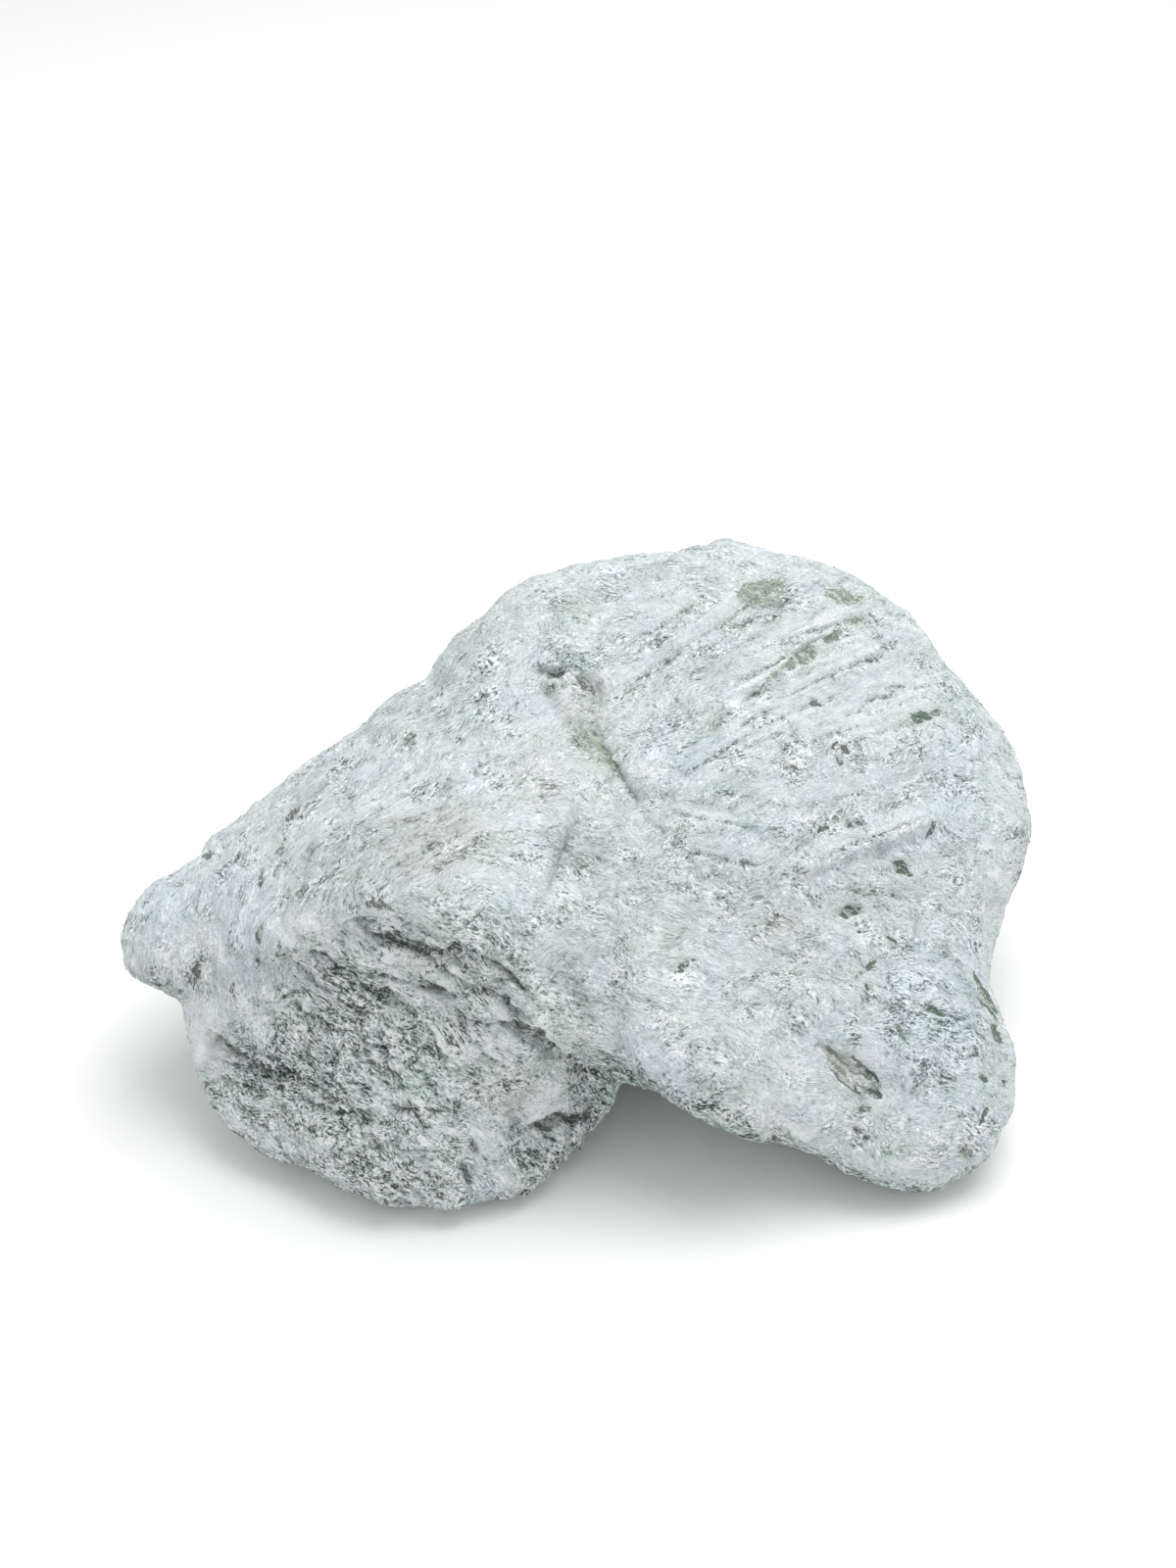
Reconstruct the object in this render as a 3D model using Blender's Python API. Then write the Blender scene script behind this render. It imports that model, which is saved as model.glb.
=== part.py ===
"""Raw soapstone: one broken, weathered lump that rests on a worn flat spot.

A skin is stretched over points that stand for the stone's corners, edges and hollows, and is trimmed to its outline.
Then the break, the layers, the tool marks and the pits are worked into it, and the flat spot is worn level.
"""

import math

import bmesh
import bpy
import numpy as np
from mathutils import Vector, noise

MM = 0.001

# The front view. Places on the seen side are given as they show from the eye, in millimetres to the right of and
# above the sight point, in the plane through it that is square to the line of sight.
EYE_ELEVATION = math.radians(40.0)
EYE_DISTANCE = 667.0
SIGHT = np.array((0.0, 0.0, 55.0))
BACK = np.array((0.0, -math.cos(EYE_ELEVATION), math.sin(EYE_ELEVATION)))
RIGHT = np.array((1.0, 0.0, 0.0))
UP = np.array((0.0, math.sin(EYE_ELEVATION), math.cos(EYE_ELEVATION)))
EYE = SIGHT + EYE_DISTANCE * BACK

# The stone's outline in the front view, counterclockwise from the right end: (right, up, height above the ground).
RIM = [
    (135, 9, 58), (132, 28, 66), (126, 41, 72), (116, 52, 80), (107, 62, 87), (100, 73, 92), (90, 81, 96),
    (79, 88, 99), (67, 92, 101), (55, 95, 103), (43, 98, 105), (31, 96, 106), (20, 94, 106), (10, 93, 106),
    (0, 91, 105), (-9, 89, 103), (-18, 86, 101), (-26, 81, 99), (-33, 74, 96), (-40, 69, 93), (-45, 62, 90),
    (-50, 55, 87), (-57, 52, 85), (-70, 40, 82), (-88, 29, 78), (-98, 21, 75), (-111, 11, 70), (-123, 0, 66),
    (-135, -7, 63), (-140, -13, 60), (-143, -24, 55), (-141, -33, 50), (-135, -39, 46), (-126, -41, 43),
    (-123, -46, 40), (-122, -54, 35), (-118, -68, 26), (-111, -80, 18), (-99, -89, 12), (-84, -94, 9),
    (-73, -100, 6), (-60, -105, 4), (-47, -106, 3), (-33, -104, 4), (-21, -102, 6), (-10, -94, 11),
    (0, -83, 18), (8, -74, 28), (10, -66, 41), (18, -68, 47), (35, -79, 38), (49, -85, 32), (62, -87, 27),
    (75, -94, 18), (90, -100, 9), (102, -101, 7), (110, -99, 7), (123, -89, 12), (130, -75, 20), (131, -58, 30),
    (126, -46, 36), (122, -36, 41), (123, -28, 45), (128, -13, 50), (132, -3, 54),
]

# Corners, edges and hollows of the seen side, inside the outline: (right, up, height).
SEEN = [
    # the broad top, and the slope that comes down from it to the right
    (20, 60, 104), (20, 30, 97), (20, 5, 87), (20, -20, 76), (20, -45, 63), (0, -25, 81),
    (60, 60, 103), (60, 30, 96), (60, 0, 83), (60, -30, 66), (60, -60, 48), (38, -62, 53),
    (95, 60, 93), (95, 30, 85), (95, 0, 71), (92, -24, 57), (115, 30, 78), (115, 0, 64), (114, -24, 51),
    # the foot, a knob at the lower right
    (100, -45, 50), (100, -70, 34), (102, -90, 17), (117, -50, 41), (117, -75, 26), (80, -75, 31),
    # the left end of the top
    (-10, 60, 101), (-10, 30, 98), (-10, 0, 94), (-40, 32, 95), (-40, 10, 97), (-67, 25, 86), (-67, 8, 90),
    # the crest over the broken face, from left to right
    (-87, -20, 83), (-67, -11, 93), (-49, -14, 96), (-25, -32, 82), (-13, -50, 64), (5, -60, 51),
    # the tail
    (-100, 0, 76), (-100, -20, 74), (-120, -14, 66), (-120, -30, 56), (-108, -42, 54),
    # the broken face
    (-70, -30, 76), (-70, -50, 59), (-70, -75, 36), (-45, -35, 77), (-42, -60, 53), (-40, -85, 27),
    (-18, -70, 44), (-14, -88, 19), (1, -69, 31), (-95, -60, 42), (-95, -78, 24), (-110, -56, 38),
]

# The sides that don't show, and the arch under the front: plain x, y, z.
HIDDEN = [
    # under the overhang between the two front feet
    (22, -55, 20), (30, -38, 8), (48, -64, 15), (50, -45, 5), (64, -66, 12), (66, -52, 4), (8, -50, 12),
    # under the tail
    (-114, -22, 30), (-108, 8, 42), (-98, -30, 18), (-95, 5, 22),
    # the back, from left to right
    (-85, 30, 48), (-78, 25, 18), (-60, 56, 56), (-52, 50, 22), (-34, 82, 62), (-26, 76, 26), (2, 96, 70),
    (-4, 86, 28), (40, 108, 66), (46, 98, 36), (88, 92, 68), (80, 78, 26), (116, 60, 52), (104, 52, 20),
    (132, 20, 38), (124, 12, 16), (127, -24, 26), (120, -36, 12),
    # round the flat spot
    (-80, -62, 5), (-55, -80, 4), (-25, -80, 4), (-5, -62, 5), (5, -40, 4), (30, -30, 4), (60, -42, 5),
    (86, -76, 4), (104, -78, 4), (110, -50, 5), (112, -15, 7), (104, 26, 8), (76, 62, 8), (45, 76, 8),
    (0, 72, 9), (-30, 58, 9), (-52, 36, 8), (-74, 8, 8), (-84, -25, 7),
    # on the flat spot
    (0, 0, -2), (-38, -26, -2), (50, 20, -2), (76, -18, -2), (-35, 15, -1), (20, 40, -2), (90, -55, 0),
    (-45, -60, 0),
]

# The broken face under the crest, and how far the break cuts in.
CREST = [(-112, -50), (-104, -34), (-90, -21), (-81, -17), (-69, -12), (-56, -16), (-40, -22), (-29, -31),
         (-16, -43), (-13, -51), (2, -60), (10, -66)]
BREAK_DEPTH = 5.5
BREAK_EDGE = 7.0
BREAK_REACH = 58.0
BREAK_RIGHT_END = (8.0, 16.0)

# Flat old breaks on the sides that don't show: outward direction, and how deep each cuts.
OLD_BREAKS = [
    ((-0.42, 0.72, -0.55), 9), ((0.38, 0.74, -0.55), 8), ((0.86, 0.22, -0.46), 8), ((0.72, -0.38, -0.58), 5),
    ((-0.80, 0.12, -0.58), 7), ((-0.10, 0.97, -0.20), 3), ((0.10, 0.52, -0.85), 6),
]
BREAK_FLATNESS = 0.85

# The stone's layers dip to the right; where a face cuts across them it is stepped.
ACROSS_LAYERS = np.array((0.55, -0.15, 0.82)) / math.hypot(0.55, 0.15, 0.82)
LAYER_STEP = 9.0
LAYER_DEPTH = 1.5
BROKEN_LAYER_DEPTH = 2.6
STEPPED = (0.15, 0.75)
STEP_RISE = 0.72
STEP_LIP = 0.82

# Waves in the layers: size, and height as a share of a layer.
LAYER_WAVES = [(46, 1.7), (14, 0.6)]

# Swellings of the whole stone: size, height and seed. The hidden sides and the broken face have their own.
SWELLS = [(34, 2.0, 1), (15, 1.0, 2)]
HIDDEN_SWELL = (60, 6.0, 9)
BROKEN_SWELL = (7, 0.8, 4)
CALM_SHARE = 0.4

# Combs of tool marks: middle (right, up), half length, half width, slope, spacing and depth.
COMBS = [
    ((66, 66), 46, 26, math.radians(25), 7.6, 1.25),
    ((95, 24), 30, 22, math.radians(12), 8.4, 0.7),
    ((-104, -6), 34, 22, math.radians(62), 7.0, 0.8),
]

# Single grooves and, with a negative depth, ridges: from, to (right, up), half width, depth.
STROKES = [
    # the olive hollow and its tail
    ((0, 36), (10, 26), 6.5, 3.0), ((10, 26), (17, 14), 5.0, 2.8), ((17, 14), (27, 5), 4.0, 1.8),
    # the two dark pits and the tongue between them
    ((-15, 56), (-9, 56), 4.5, 3.6), ((-2, 53), (2, 52), 3.6, 3.2), ((-9, 54), (-3, 42), 3.2, -2.2),
    # the raised bar below the hollow, with the groove on its right
    ((-8, 14), (-16, -8), 4.0, -2.2), ((-2, 10), (-10, -10), 3.0, 1.4),
    # the lines that spread from below the hollow
    ((13, 22), (47, 14), 3.0, 1.3), ((47, 14), (66, 8), 3.0, -1.2), ((64, -3), (106, 14), 3.6, -1.4),
    # the chips of the slope and the foot
    ((84, 4), (92, -1), 3.4, 1.8), ((76, -14), (83, -18), 3.6, 1.8), ((84, -32), (89, -36), 3.2, 1.6),
    ((72, -56), (88, -70), 5.0, 2.2), ((101, -44), (110, -48), 3.2, 1.4), ((26, -32), (32, -35), 3.0, 1.2),
    # the dark recesses of the broken face
    ((-112, -56), (-97, -62), 5.0, 3.4), ((-84, -34), (-66, -50), 6.0, 3.0), ((-62, -44), (-50, -64), 5.0, 2.4),
    ((-20, -78), (-6, -82), 4.5, 2.6), ((-38, -94), (-36, -98), 2.6, 2.0),
]

# A comb's marks waver, and come and go along their length: size of the waver, its share of the spacing, seed.
COMB_WAVER = (30, 0.5, 5)
COMB_LASTING = (24, 1.5, 6)
COMB_MEAN = 0.55
COMB_MOST = 1.3
COMB_ROW_GAP = 60
COMB_FADE = (0.6, 1.0)

CENTRE = np.array((5.0, 0.0, 48.0))
FIRM = 0.004
BATCHES = 40
DRAFT_SUBDIVISIONS = 7
DRAFT_VOXEL = 2.0
TRIM_ALLOWANCE = 0.8
ROUNDING_PASSES = 4
OUTLINE_SECTORS = 200
OUTER_PART = (0.45, 0.95)
FACING = (0.05, 0.4)
TRIANGLES = 9400
FLAT_SNAP = 0.6


def seen(u, v, height):
    """The point that shows at (u, v) in the front view and stands this high above the ground."""
    ray = SIGHT + u * RIGHT + v * UP - EYE
    return EYE + ray * (height - EYE[2]) / ray[2]


def in_front_view(points):
    """(u, v) of each point in the front view."""
    rel = points - EYE
    scale = EYE_DISTANCE / (rel @ -BACK)
    return np.stack([rel @ RIGHT * scale, rel @ UP * scale], axis=1)


def smoothstep(low, high, value):
    t = np.clip((value - low) / (high - low), 0, 1)
    return t * t * (3 - 2 * t)


def rough(points, size, seed):
    """Smooth noise from -1 to 1 whose lumps are about this many millimetres across."""
    shift = Vector((seed * 17.3, seed * 5.1, seed * 9.7))
    return np.array([noise.noise(Vector(point) / size + shift) for point in points])


def swell(points, size, height, seed):
    return height * rough(points, size, seed)


def clear_scene():
    for obj in list(bpy.data.objects):
        bpy.data.objects.remove(obj, do_unlink=True)


def apply_modifiers(obj):
    bpy.context.view_layer.update()
    graph = bpy.context.evaluated_depsgraph_get()
    mesh = bpy.data.meshes.new_from_object(obj.evaluated_get(graph))
    obj.modifiers.clear()
    old = obj.data
    obj.data = mesh
    bpy.data.meshes.remove(old)


def points_of(mesh):
    flat = np.empty(len(mesh.vertices) * 3, np.float32)
    mesh.vertices.foreach_get("co", flat)
    return flat.reshape(-1, 3).astype(float) / MM


def set_points(mesh, points):
    mesh.vertices.foreach_set("co", (points * MM).astype(np.float32).ravel())
    mesh.update()


def normals_of(mesh):
    flat = np.empty(len(mesh.vertices) * 3, np.float32)
    mesh.vertex_normals.foreach_get("vector", flat)
    return flat.reshape(-1, 3).astype(float)


def edges_of(mesh):
    flat = np.empty(len(mesh.edges) * 2, np.int32)
    mesh.edges.foreach_get("vertices", flat)
    return flat.reshape(-1, 2)


def smoothed(points, edges, passes):
    """Moves each point halfway to the middle of its neighbours, this many times."""
    count = np.bincount(edges.ravel(), minlength=len(points))[:, None]
    for _ in range(passes):
        total = np.zeros_like(points)
        for axis in range(3):
            total[:, axis] = np.bincount(edges[:, 0], points[edges[:, 1], axis], len(points))
            total[:, axis] += np.bincount(edges[:, 1], points[edges[:, 0], axis], len(points))
        points = (points + total / count) / 2
    return points


def stretched_skin(marks, directions):
    """How far a smooth skin over these points lies from the centre, in each direction."""
    arms = marks - CENTRE
    reach = np.linalg.norm(arms, axis=1)
    known = arms / reach[:, None]

    def bend(a, b):
        gap = np.linalg.norm(a[:, None] - b[None], axis=2) + 1e-9
        return gap ** 2 * np.log(gap)

    size = len(marks)
    system = np.zeros((size + 4, size + 4))
    system[:size, :size] = bend(known, known) + FIRM * np.eye(size)
    system[:size, size] = system[size, :size] = 1
    system[:size, size + 1:] = known
    system[size + 1:, :size] = known.T
    pull = np.linalg.solve(system, np.concatenate([reach, np.zeros(4)]))
    lengths = [bend(part, known) @ pull[:size] + pull[size] + part @ pull[size + 1:]
               for part in np.array_split(directions, BATCHES)]
    return np.concatenate(lengths)


def draft():
    """The bare form: a sphere pulled out to the skin, then given an even mesh."""
    shape = bmesh.new()
    bmesh.ops.create_icosphere(shape, subdivisions=DRAFT_SUBDIVISIONS, radius=1)
    mesh = bpy.data.meshes.new("soapstone")
    shape.to_mesh(mesh)
    shape.free()
    stone = bpy.data.objects.new("soapstone", mesh)
    bpy.context.scene.collection.objects.link(stone)
    directions = points_of(mesh)
    directions /= np.linalg.norm(directions, axis=1)[:, None]
    marks = np.array([seen(*place) for place in RIM + SEEN] + HIDDEN, float)
    set_points(mesh, CENTRE + directions * stretched_skin(marks, directions)[:, None])
    even_mesh(stone)
    return stone


def even_mesh(stone):
    skin = stone.modifiers.new("skin", "REMESH")
    skin.mode = "VOXEL"
    skin.voxel_size = DRAFT_VOXEL * MM
    apply_modifiers(stone)


def fit_outline(points):
    """Stretches the stone across the line of sight, most at its edge, until its outline is the one drawn above."""
    drawn = np.array(RIM, float)[:, :2]
    drawn_angle = np.arctan2(drawn[:, 1], drawn[:, 0])
    drawn_reach = np.hypot(drawn[:, 0], drawn[:, 1]) + TRIM_ALLOWANCE
    flat = in_front_view(points)
    angle = np.arctan2(flat[:, 1], flat[:, 0])
    reach = np.hypot(flat[:, 0], flat[:, 1])
    sectors = OUTLINE_SECTORS
    middles = (np.arange(sectors) + 0.5) / sectors * 2 * np.pi - np.pi
    edge = np.zeros(sectors)
    np.maximum.at(edge, ((angle + np.pi) / (2 * np.pi) * sectors).astype(int) % sectors, reach)
    order = np.argsort(drawn_angle)
    wanted = np.interp(middles, drawn_angle[order], drawn_reach[order], period=2 * np.pi)
    own_edge = np.interp(angle, middles, edge, period=2 * np.pi)
    own_stretch = np.interp(angle, middles, wanted / edge, period=2 * np.pi)
    stretch = 1 + (own_stretch - 1) * smoothstep(*OUTER_PART, reach / own_edge)
    depth = (points - EYE) @ -BACK
    moved = flat * (stretch * depth / EYE_DISTANCE)[:, None]
    return EYE - depth[:, None] * BACK + moved[:, :1] * RIGHT + moved[:, 1:] * UP


def from_segment(flat, start, end):
    """Distance of each (u, v) from a segment, and the side it is on: negative on the right."""
    start = np.array(start, float)
    along = np.array(end, float) - start
    rel = flat - start
    share = np.clip(rel @ along / (along @ along), 0, 1)
    side = along[0] * rel[:, 1] - along[1] * rel[:, 0]
    return np.linalg.norm(rel - share[:, None] * along, axis=1), side


def below_crest(flat):
    """Distance of each (u, v) below the crest, negative above it."""
    nearest = np.full(len(flat), 1e9)
    sign = np.ones(len(flat))
    for start, end in zip(CREST, CREST[1:]):
        distance, side = from_segment(flat, start, end)
        closer = distance < nearest
        nearest[closer] = distance[closer]
        sign[closer] = np.where(side[closer] < 0, 1, -1)
    return nearest * sign


def broken_face(flat, facing):
    """Where the face below the crest is, from 0 to 1."""
    below = below_crest(flat)
    return smoothstep(0, BREAK_EDGE, below) * (1 - smoothstep(*BREAK_RIGHT_END, flat[:, 0])) * facing


def break_off(points):
    """Takes the old breaks off the hidden sides."""
    for direction, cut in OLD_BREAKS:
        outward = np.array(direction) / np.linalg.norm(direction)
        height = points @ outward
        over = np.maximum(height - (height.max() - cut), 0)
        points = points - BREAK_FLATNESS * over[:, None] * outward
    return points


def facing_eye(points, normals):
    to_eye = EYE - points
    to_eye /= np.linalg.norm(to_eye, axis=1)[:, None]
    return smoothstep(*FACING, np.sum(normals * to_eye, axis=1))


def steps(points, seed):
    """A step for each layer, from 0 at its foot to 1 at its lip, with layers of uneven thickness."""
    level = points @ ACROSS_LAYERS / LAYER_STEP
    for wave, (size, height) in enumerate(LAYER_WAVES):
        level += height * rough(points, size, seed + wave)
    share = level % 1.0
    return smoothstep(0, STEP_RISE, share) * (1 - smoothstep(STEP_LIP, 1, share))


def worked_in(points, normals):
    """How far each point is pressed in, in millimetres: the break, the layers, the tool marks and the pits."""
    flat = in_front_view(points)
    facing = facing_eye(points, normals)
    broken = broken_face(flat, facing)
    below = below_crest(flat)
    depth = BREAK_DEPTH * broken * (1 - smoothstep(BREAK_EDGE, BREAK_REACH, below))
    across = 1 - np.abs(normals @ ACROSS_LAYERS)
    cut = smoothstep(*STEPPED, across)
    depth -= LAYER_DEPTH * cut * (steps(points, 3) - 0.5) * (1 - broken)
    depth -= BROKEN_LAYER_DEPTH * broken * (steps(points, 8) - 0.5)
    depth -= (1 - facing) * swell(points, *HIDDEN_SWELL)
    for size, height, seed in SWELLS:
        depth -= swell(points, size, height, seed)
    depth -= (CALM_SHARE + broken) * swell(points, *BROKEN_SWELL)
    for middle, half_length, half_width, slope, spacing, mark in COMBS:
        rel = flat - np.array(middle, float)
        along = rel[:, 0] * math.cos(slope) + rel[:, 1] * math.sin(slope)
        over = rel[:, 1] * math.cos(slope) - rel[:, 0] * math.sin(slope)
        near = 1 - smoothstep(*COMB_FADE, np.hypot(along / half_length, over / half_width))
        wave = over / spacing + swell(points, *COMB_WAVER)
        each = np.stack([along, COMB_ROW_GAP * np.round(wave), np.zeros(len(wave))], axis=1)
        lasting = np.clip(COMB_MEAN + swell(each, *COMB_LASTING), 0, COMB_MOST)
        depth += mark * near * facing * np.cos(2 * math.pi * wave) * lasting
    for start, end, half_width, pressed in STROKES:
        distance, _ = from_segment(flat, start, end)
        depth += pressed * facing * np.exp(-(distance / half_width) ** 2)
    return depth


def level_flat_spot(points):
    points[:, 2] = np.where(points[:, 2] < FLAT_SNAP, 0, points[:, 2])
    return points


def thin_out(stone):
    """Fewer faces, most where the surface bends."""
    fewer = stone.modifiers.new("fewer faces", "DECIMATE")
    fewer.ratio = TRIANGLES / (2 * len(stone.data.polygons))
    fewer.use_collapse_triangulate = True
    apply_modifiers(stone)


def stone_material():
    material = bpy.data.materials.new("soapstone")
    material.use_nodes = True
    shader = material.node_tree.nodes["Principled BSDF"]
    shader.inputs["Base Color"].default_value = (0.56, 0.60, 0.58, 1)
    shader.inputs["Roughness"].default_value = 0.72
    shader.inputs["Metallic"].default_value = 0.0
    return material


def main():
    clear_scene()
    stone = draft()
    points = smoothed(points_of(stone.data), edges_of(stone.data), ROUNDING_PASSES)
    set_points(stone.data, fit_outline(break_off(points)))
    points = points_of(stone.data)
    normals = normals_of(stone.data)
    points = points - normals * worked_in(points, normals)[:, None]
    points = smoothed(points, edges_of(stone.data), 1)
    set_points(stone.data, level_flat_spot(fit_outline(points)))
    thin_out(stone)
    points = level_flat_spot(points_of(stone.data))
    middle = (points.max(axis=0) + points.min(axis=0)) / 2
    set_points(stone.data, points - (middle[0], middle[1], 0))
    stone.data.materials.append(stone_material())


main()
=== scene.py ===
"""The looks of a raw soapstone: worked skin, talc flakes, crumbs, colours, camera, floor and light."""

import itertools
import math

import bmesh
import bpy
import numpy as np
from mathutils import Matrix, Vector


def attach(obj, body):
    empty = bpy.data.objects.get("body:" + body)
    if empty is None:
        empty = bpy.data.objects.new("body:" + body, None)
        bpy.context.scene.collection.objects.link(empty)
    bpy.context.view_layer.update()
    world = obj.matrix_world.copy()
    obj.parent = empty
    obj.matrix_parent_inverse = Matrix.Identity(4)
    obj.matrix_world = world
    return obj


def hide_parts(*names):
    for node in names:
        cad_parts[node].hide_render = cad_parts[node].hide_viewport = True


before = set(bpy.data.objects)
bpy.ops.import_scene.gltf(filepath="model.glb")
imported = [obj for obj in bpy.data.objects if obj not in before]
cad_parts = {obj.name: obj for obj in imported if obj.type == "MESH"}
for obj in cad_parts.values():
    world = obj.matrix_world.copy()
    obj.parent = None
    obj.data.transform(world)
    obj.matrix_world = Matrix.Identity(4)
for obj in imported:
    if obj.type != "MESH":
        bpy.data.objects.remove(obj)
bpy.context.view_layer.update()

MM = 0.001

# The front view, as in the solid's own source. Places on the seen side are given as they show from the eye:
# millimetres to the right of and above the sight point, in the plane through it square to the line of sight.
EYE_ELEVATION = math.radians(40.0)
EYE_DISTANCE = 667.0
SIGHT = np.array((0.0, -6.5, 55.0))
BACK = np.array((0.0, -math.cos(EYE_ELEVATION), math.sin(EYE_ELEVATION)))
RIGHT = np.array((1.0, 0.0, 0.0))
UP = np.array((0.0, math.sin(EYE_ELEVATION), math.cos(EYE_ELEVATION)))
EYE = SIGHT + EYE_DISTANCE * BACK
VIEW_HEIGHT = 480.0
VIEW_SHIFT = 0.05

SKIN_VOXEL = 0.85
SKIN_TRIANGLES = 197000
FACET_ROUNDING = 14
HOLLOW_PASSES = 14
SKIN_SWELL = 0.45

# The broken face lies under this crest: (right, up), from its left end to the notch.
CREST = [(-115, -58), (-109, -47), (-98, -39), (-89, -30), (-80, -22), (-69, -13), (-56, -16), (-40, -22),
         (-29, -31), (-16, -43), (-13, -51), (2, -60), (10, -66)]

# The stone's layers dip to the right.
ACROSS_LAYERS = np.array((0.55, -0.15, 0.82)) / math.hypot(0.55, 0.15, 0.82)

# The ways the grain runs on the seen side: slope in the view in degrees, and the way the surface faces there.
FAN_GRAIN = (28, (0.05, -0.25, 0.97))
FLANK_GRAIN = (76, (-0.45, -0.30, 0.84))
SHOULDER_GRAIN = (46, (-0.35, 0.05, 0.94))
SLOPE_GRAIN = (-16, (0.30, -0.60, 0.74))
BREAK_GRAIN = (-32, (-0.15, -0.88, 0.45))
SCRATCH_GRAIN = (-36, (0.05, -0.25, 0.97))
LENS_GRAIN = (-42, (0.30, -0.60, 0.74))

# Ledges, each a sharp lip with the stone below it sunk in: points (right, up) from left to right, drop, and
# how far below the lip the surface comes out again.
# Each ledge also gets a band of painted shade just under its lip and a band of painted highlight just above
# it.
LEDGES = [
    ([(-74, -18), (-69, -16), (-62, -18), (-57, -20)], 2.2, 9),
    ([(-66, -21), (-59, -21.5), (-54, -24.5), (-46, -27), (-39, -24), (-36, -27), (-27, -31),
      (-19, -38)], 2, 8),
    ([(-50, -36), (-48, -37), (-42, -38.5)], 1.5, 6),
    ([(-34, -48), (-31, -49), (-26, -48)], 1.8, 7),
    ([(-22, -44), (-19, -49), (-14, -52), (-8, -58), (2, -62), (11, -63)], 2.4, 8),
    ([(-112, -53), (-105, -57), (-99, -61), (-93, -63)], 3, 7),
    ([(-90, -30), (-84, -36), (-78, -42), (-70, -44)], 2.2, 6),
    ([(-82, -27), (-75, -31), (-69, -37), (-63, -39)], 1.8, 5),
    ([(-88, -44), (-80, -50), (-72, -50), (-64, -56)], 1.8, 6),
    ([(-62, -53), (-61, -61), (-58, -66)], 1.6, 5),
    ([(-98, -66), (-88, -70), (-80, -75), (-72, -76)], 1.6, 5),
    ([(-58, -75), (-52, -76), (-49, -80)], 1.5, 5),
    ([(-17, -80), (-11, -77), (-5, -77)], 2.6, 6),
    ([(-60, -40), (-52, -46), (-46, -56)], 1.2, 8),
    ([(-40, -42), (-36, -54), (-28, -60)], 1, 8),
    ([(-68, -18), (-56, -25), (-47, -29), (-43, -32), (-37, -36), (-28, -39),
      (-20, -44), (-15, -49), (-9, -56)], 1.7, 5),
    ([(-61, -35), (-53, -37), (-42, -39)], 1.4, 4),
    ([(-37, -45), (-28, -46.5), (-23, -48), (-16, -52), (-11, -57)], 1.8, 5),
]

# The top of the bare band along the lower right edge, which is also painted darker as shade: (right, up).
UNDERSIDE = [(6, -61), (14, -65), (27, -69.5), (42, -74.5), (51, -81), (60, -86.5),
              (69, -89), (75, -92), (87, -96.5), (100, -98)]

# Grooves and, with a negative depth, ridges: from, to (right, up), half width, depth.
GROOVES = [
    # the olive hollow, its sharp right edge, and the line that runs on from it
    ((-1, 39), (8, 29), 4.4, 1.3), ((8, 29), (14, 18), 3, 1.5), ((2, 42), (8, 31), 1, 1),
    ((8, 31), (14, 20), 1, 1.2), ((15, 17), (26, 5), 1.2, 0.8),
    # the two pits and the tongue between them
    ((-14, 58), (-8, 58), 1.4, 2.6), ((-13, 55), (-11, 50), 1.3, 1.6), ((-2, 57), (3, 50), 2.2, 1.8),
    ((-7, 56), (-4, 40), 2, -1.1),
    # the raised bar and the groove on its right
    ((-8, 14), (-16, -8), 2.4, -1.1), ((-4, 12), (-12, -9), 1, 0.8),
    # the lines that spread to the right
    ((13, 22), (47, 14), 1.3, 0.7), ((47, 14), (66, 8), 2, -0.8), ((65, -2), (106, 14), 2.4, -0.9),
    ((64, -6), (100, 7), 1.4, 0.8),
    # lines of the left side
    ((-33, 59), (-34, 52), 1, 0.9), ((-38, 52), (-33, 49), 0.9, 0.8), ((-98, 16), (-90, 24), 1, 0.7),
    # cracks near the bottom of the broken face, and the pits of the foot
    ((-38, -93), (-36, -98), 0.9, 2), ((-36, -85), (-35, -88), 0.8, 1.6), ((82, -82), (87, -85), 1.8, 1.5),
    ((115, -88), (117, -92), 1.6, 1.7),
    # the two long edges of the lens
    ((70, -55), (87, -66), 0.9, 0.7), ((72, -61), (85, -73), 0.9, 0.6),
    # a stuck pebble
    ((43, 47.8), (44.6, 46.8), 1.9, -1.5),
]

# Flat raised bars that the strokes of a tool left: from, to (right, up), half width, height.
BARS = [
    ((8, 54), (40, 75), 2.2, 0.4), ((36, 72), (57, 89), 2.6, 0.4), ((50, 68), (72, 76), 3, 0.5),
    ((68, 74), (88, 79), 2.6, 0.45), ((27, 29), (51, 44), 3, 0.6), ((44, 57), (60, 66), 2.4, 0.35),
    ((56, 52), (90, 68), 2.4, 0.4), ((48, 43), (80, 56), 2.8, 0.3), ((14, 71), (32, 82), 2.6, 0.3),
    ((36, 26), (66, 19), 2.6, 0.16), ((62, 20), (94, 27), 2.8, 0.14), ((84, 52), (108, 58), 2.4, 0.35),
    ((80, 40), (106, 48), 2.6, 0.25), ((20, 62), (36, 70), 1.6, 0.25), ((60, 38), (84, 44), 2.2, 0.25),
    ((24, 18), (52, 12), 1.8, 0.4), ((30, 6), (60, 0), 2.2, 0.25), ((66, 3), (104, 17), 2.4, 0.35),
]

# Ovals are given as right and up of the middle, half length, half width, and slope in degrees.

# Shallow fillings where the break meets the skin with no step: oval, height.
FILLS = [(-30, -42, 26, 10, -40, 3.4), (-100, -54, 16, 12, 50, 2.6), (-2, -64, 12, 5, -20, 1.5)]

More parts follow.
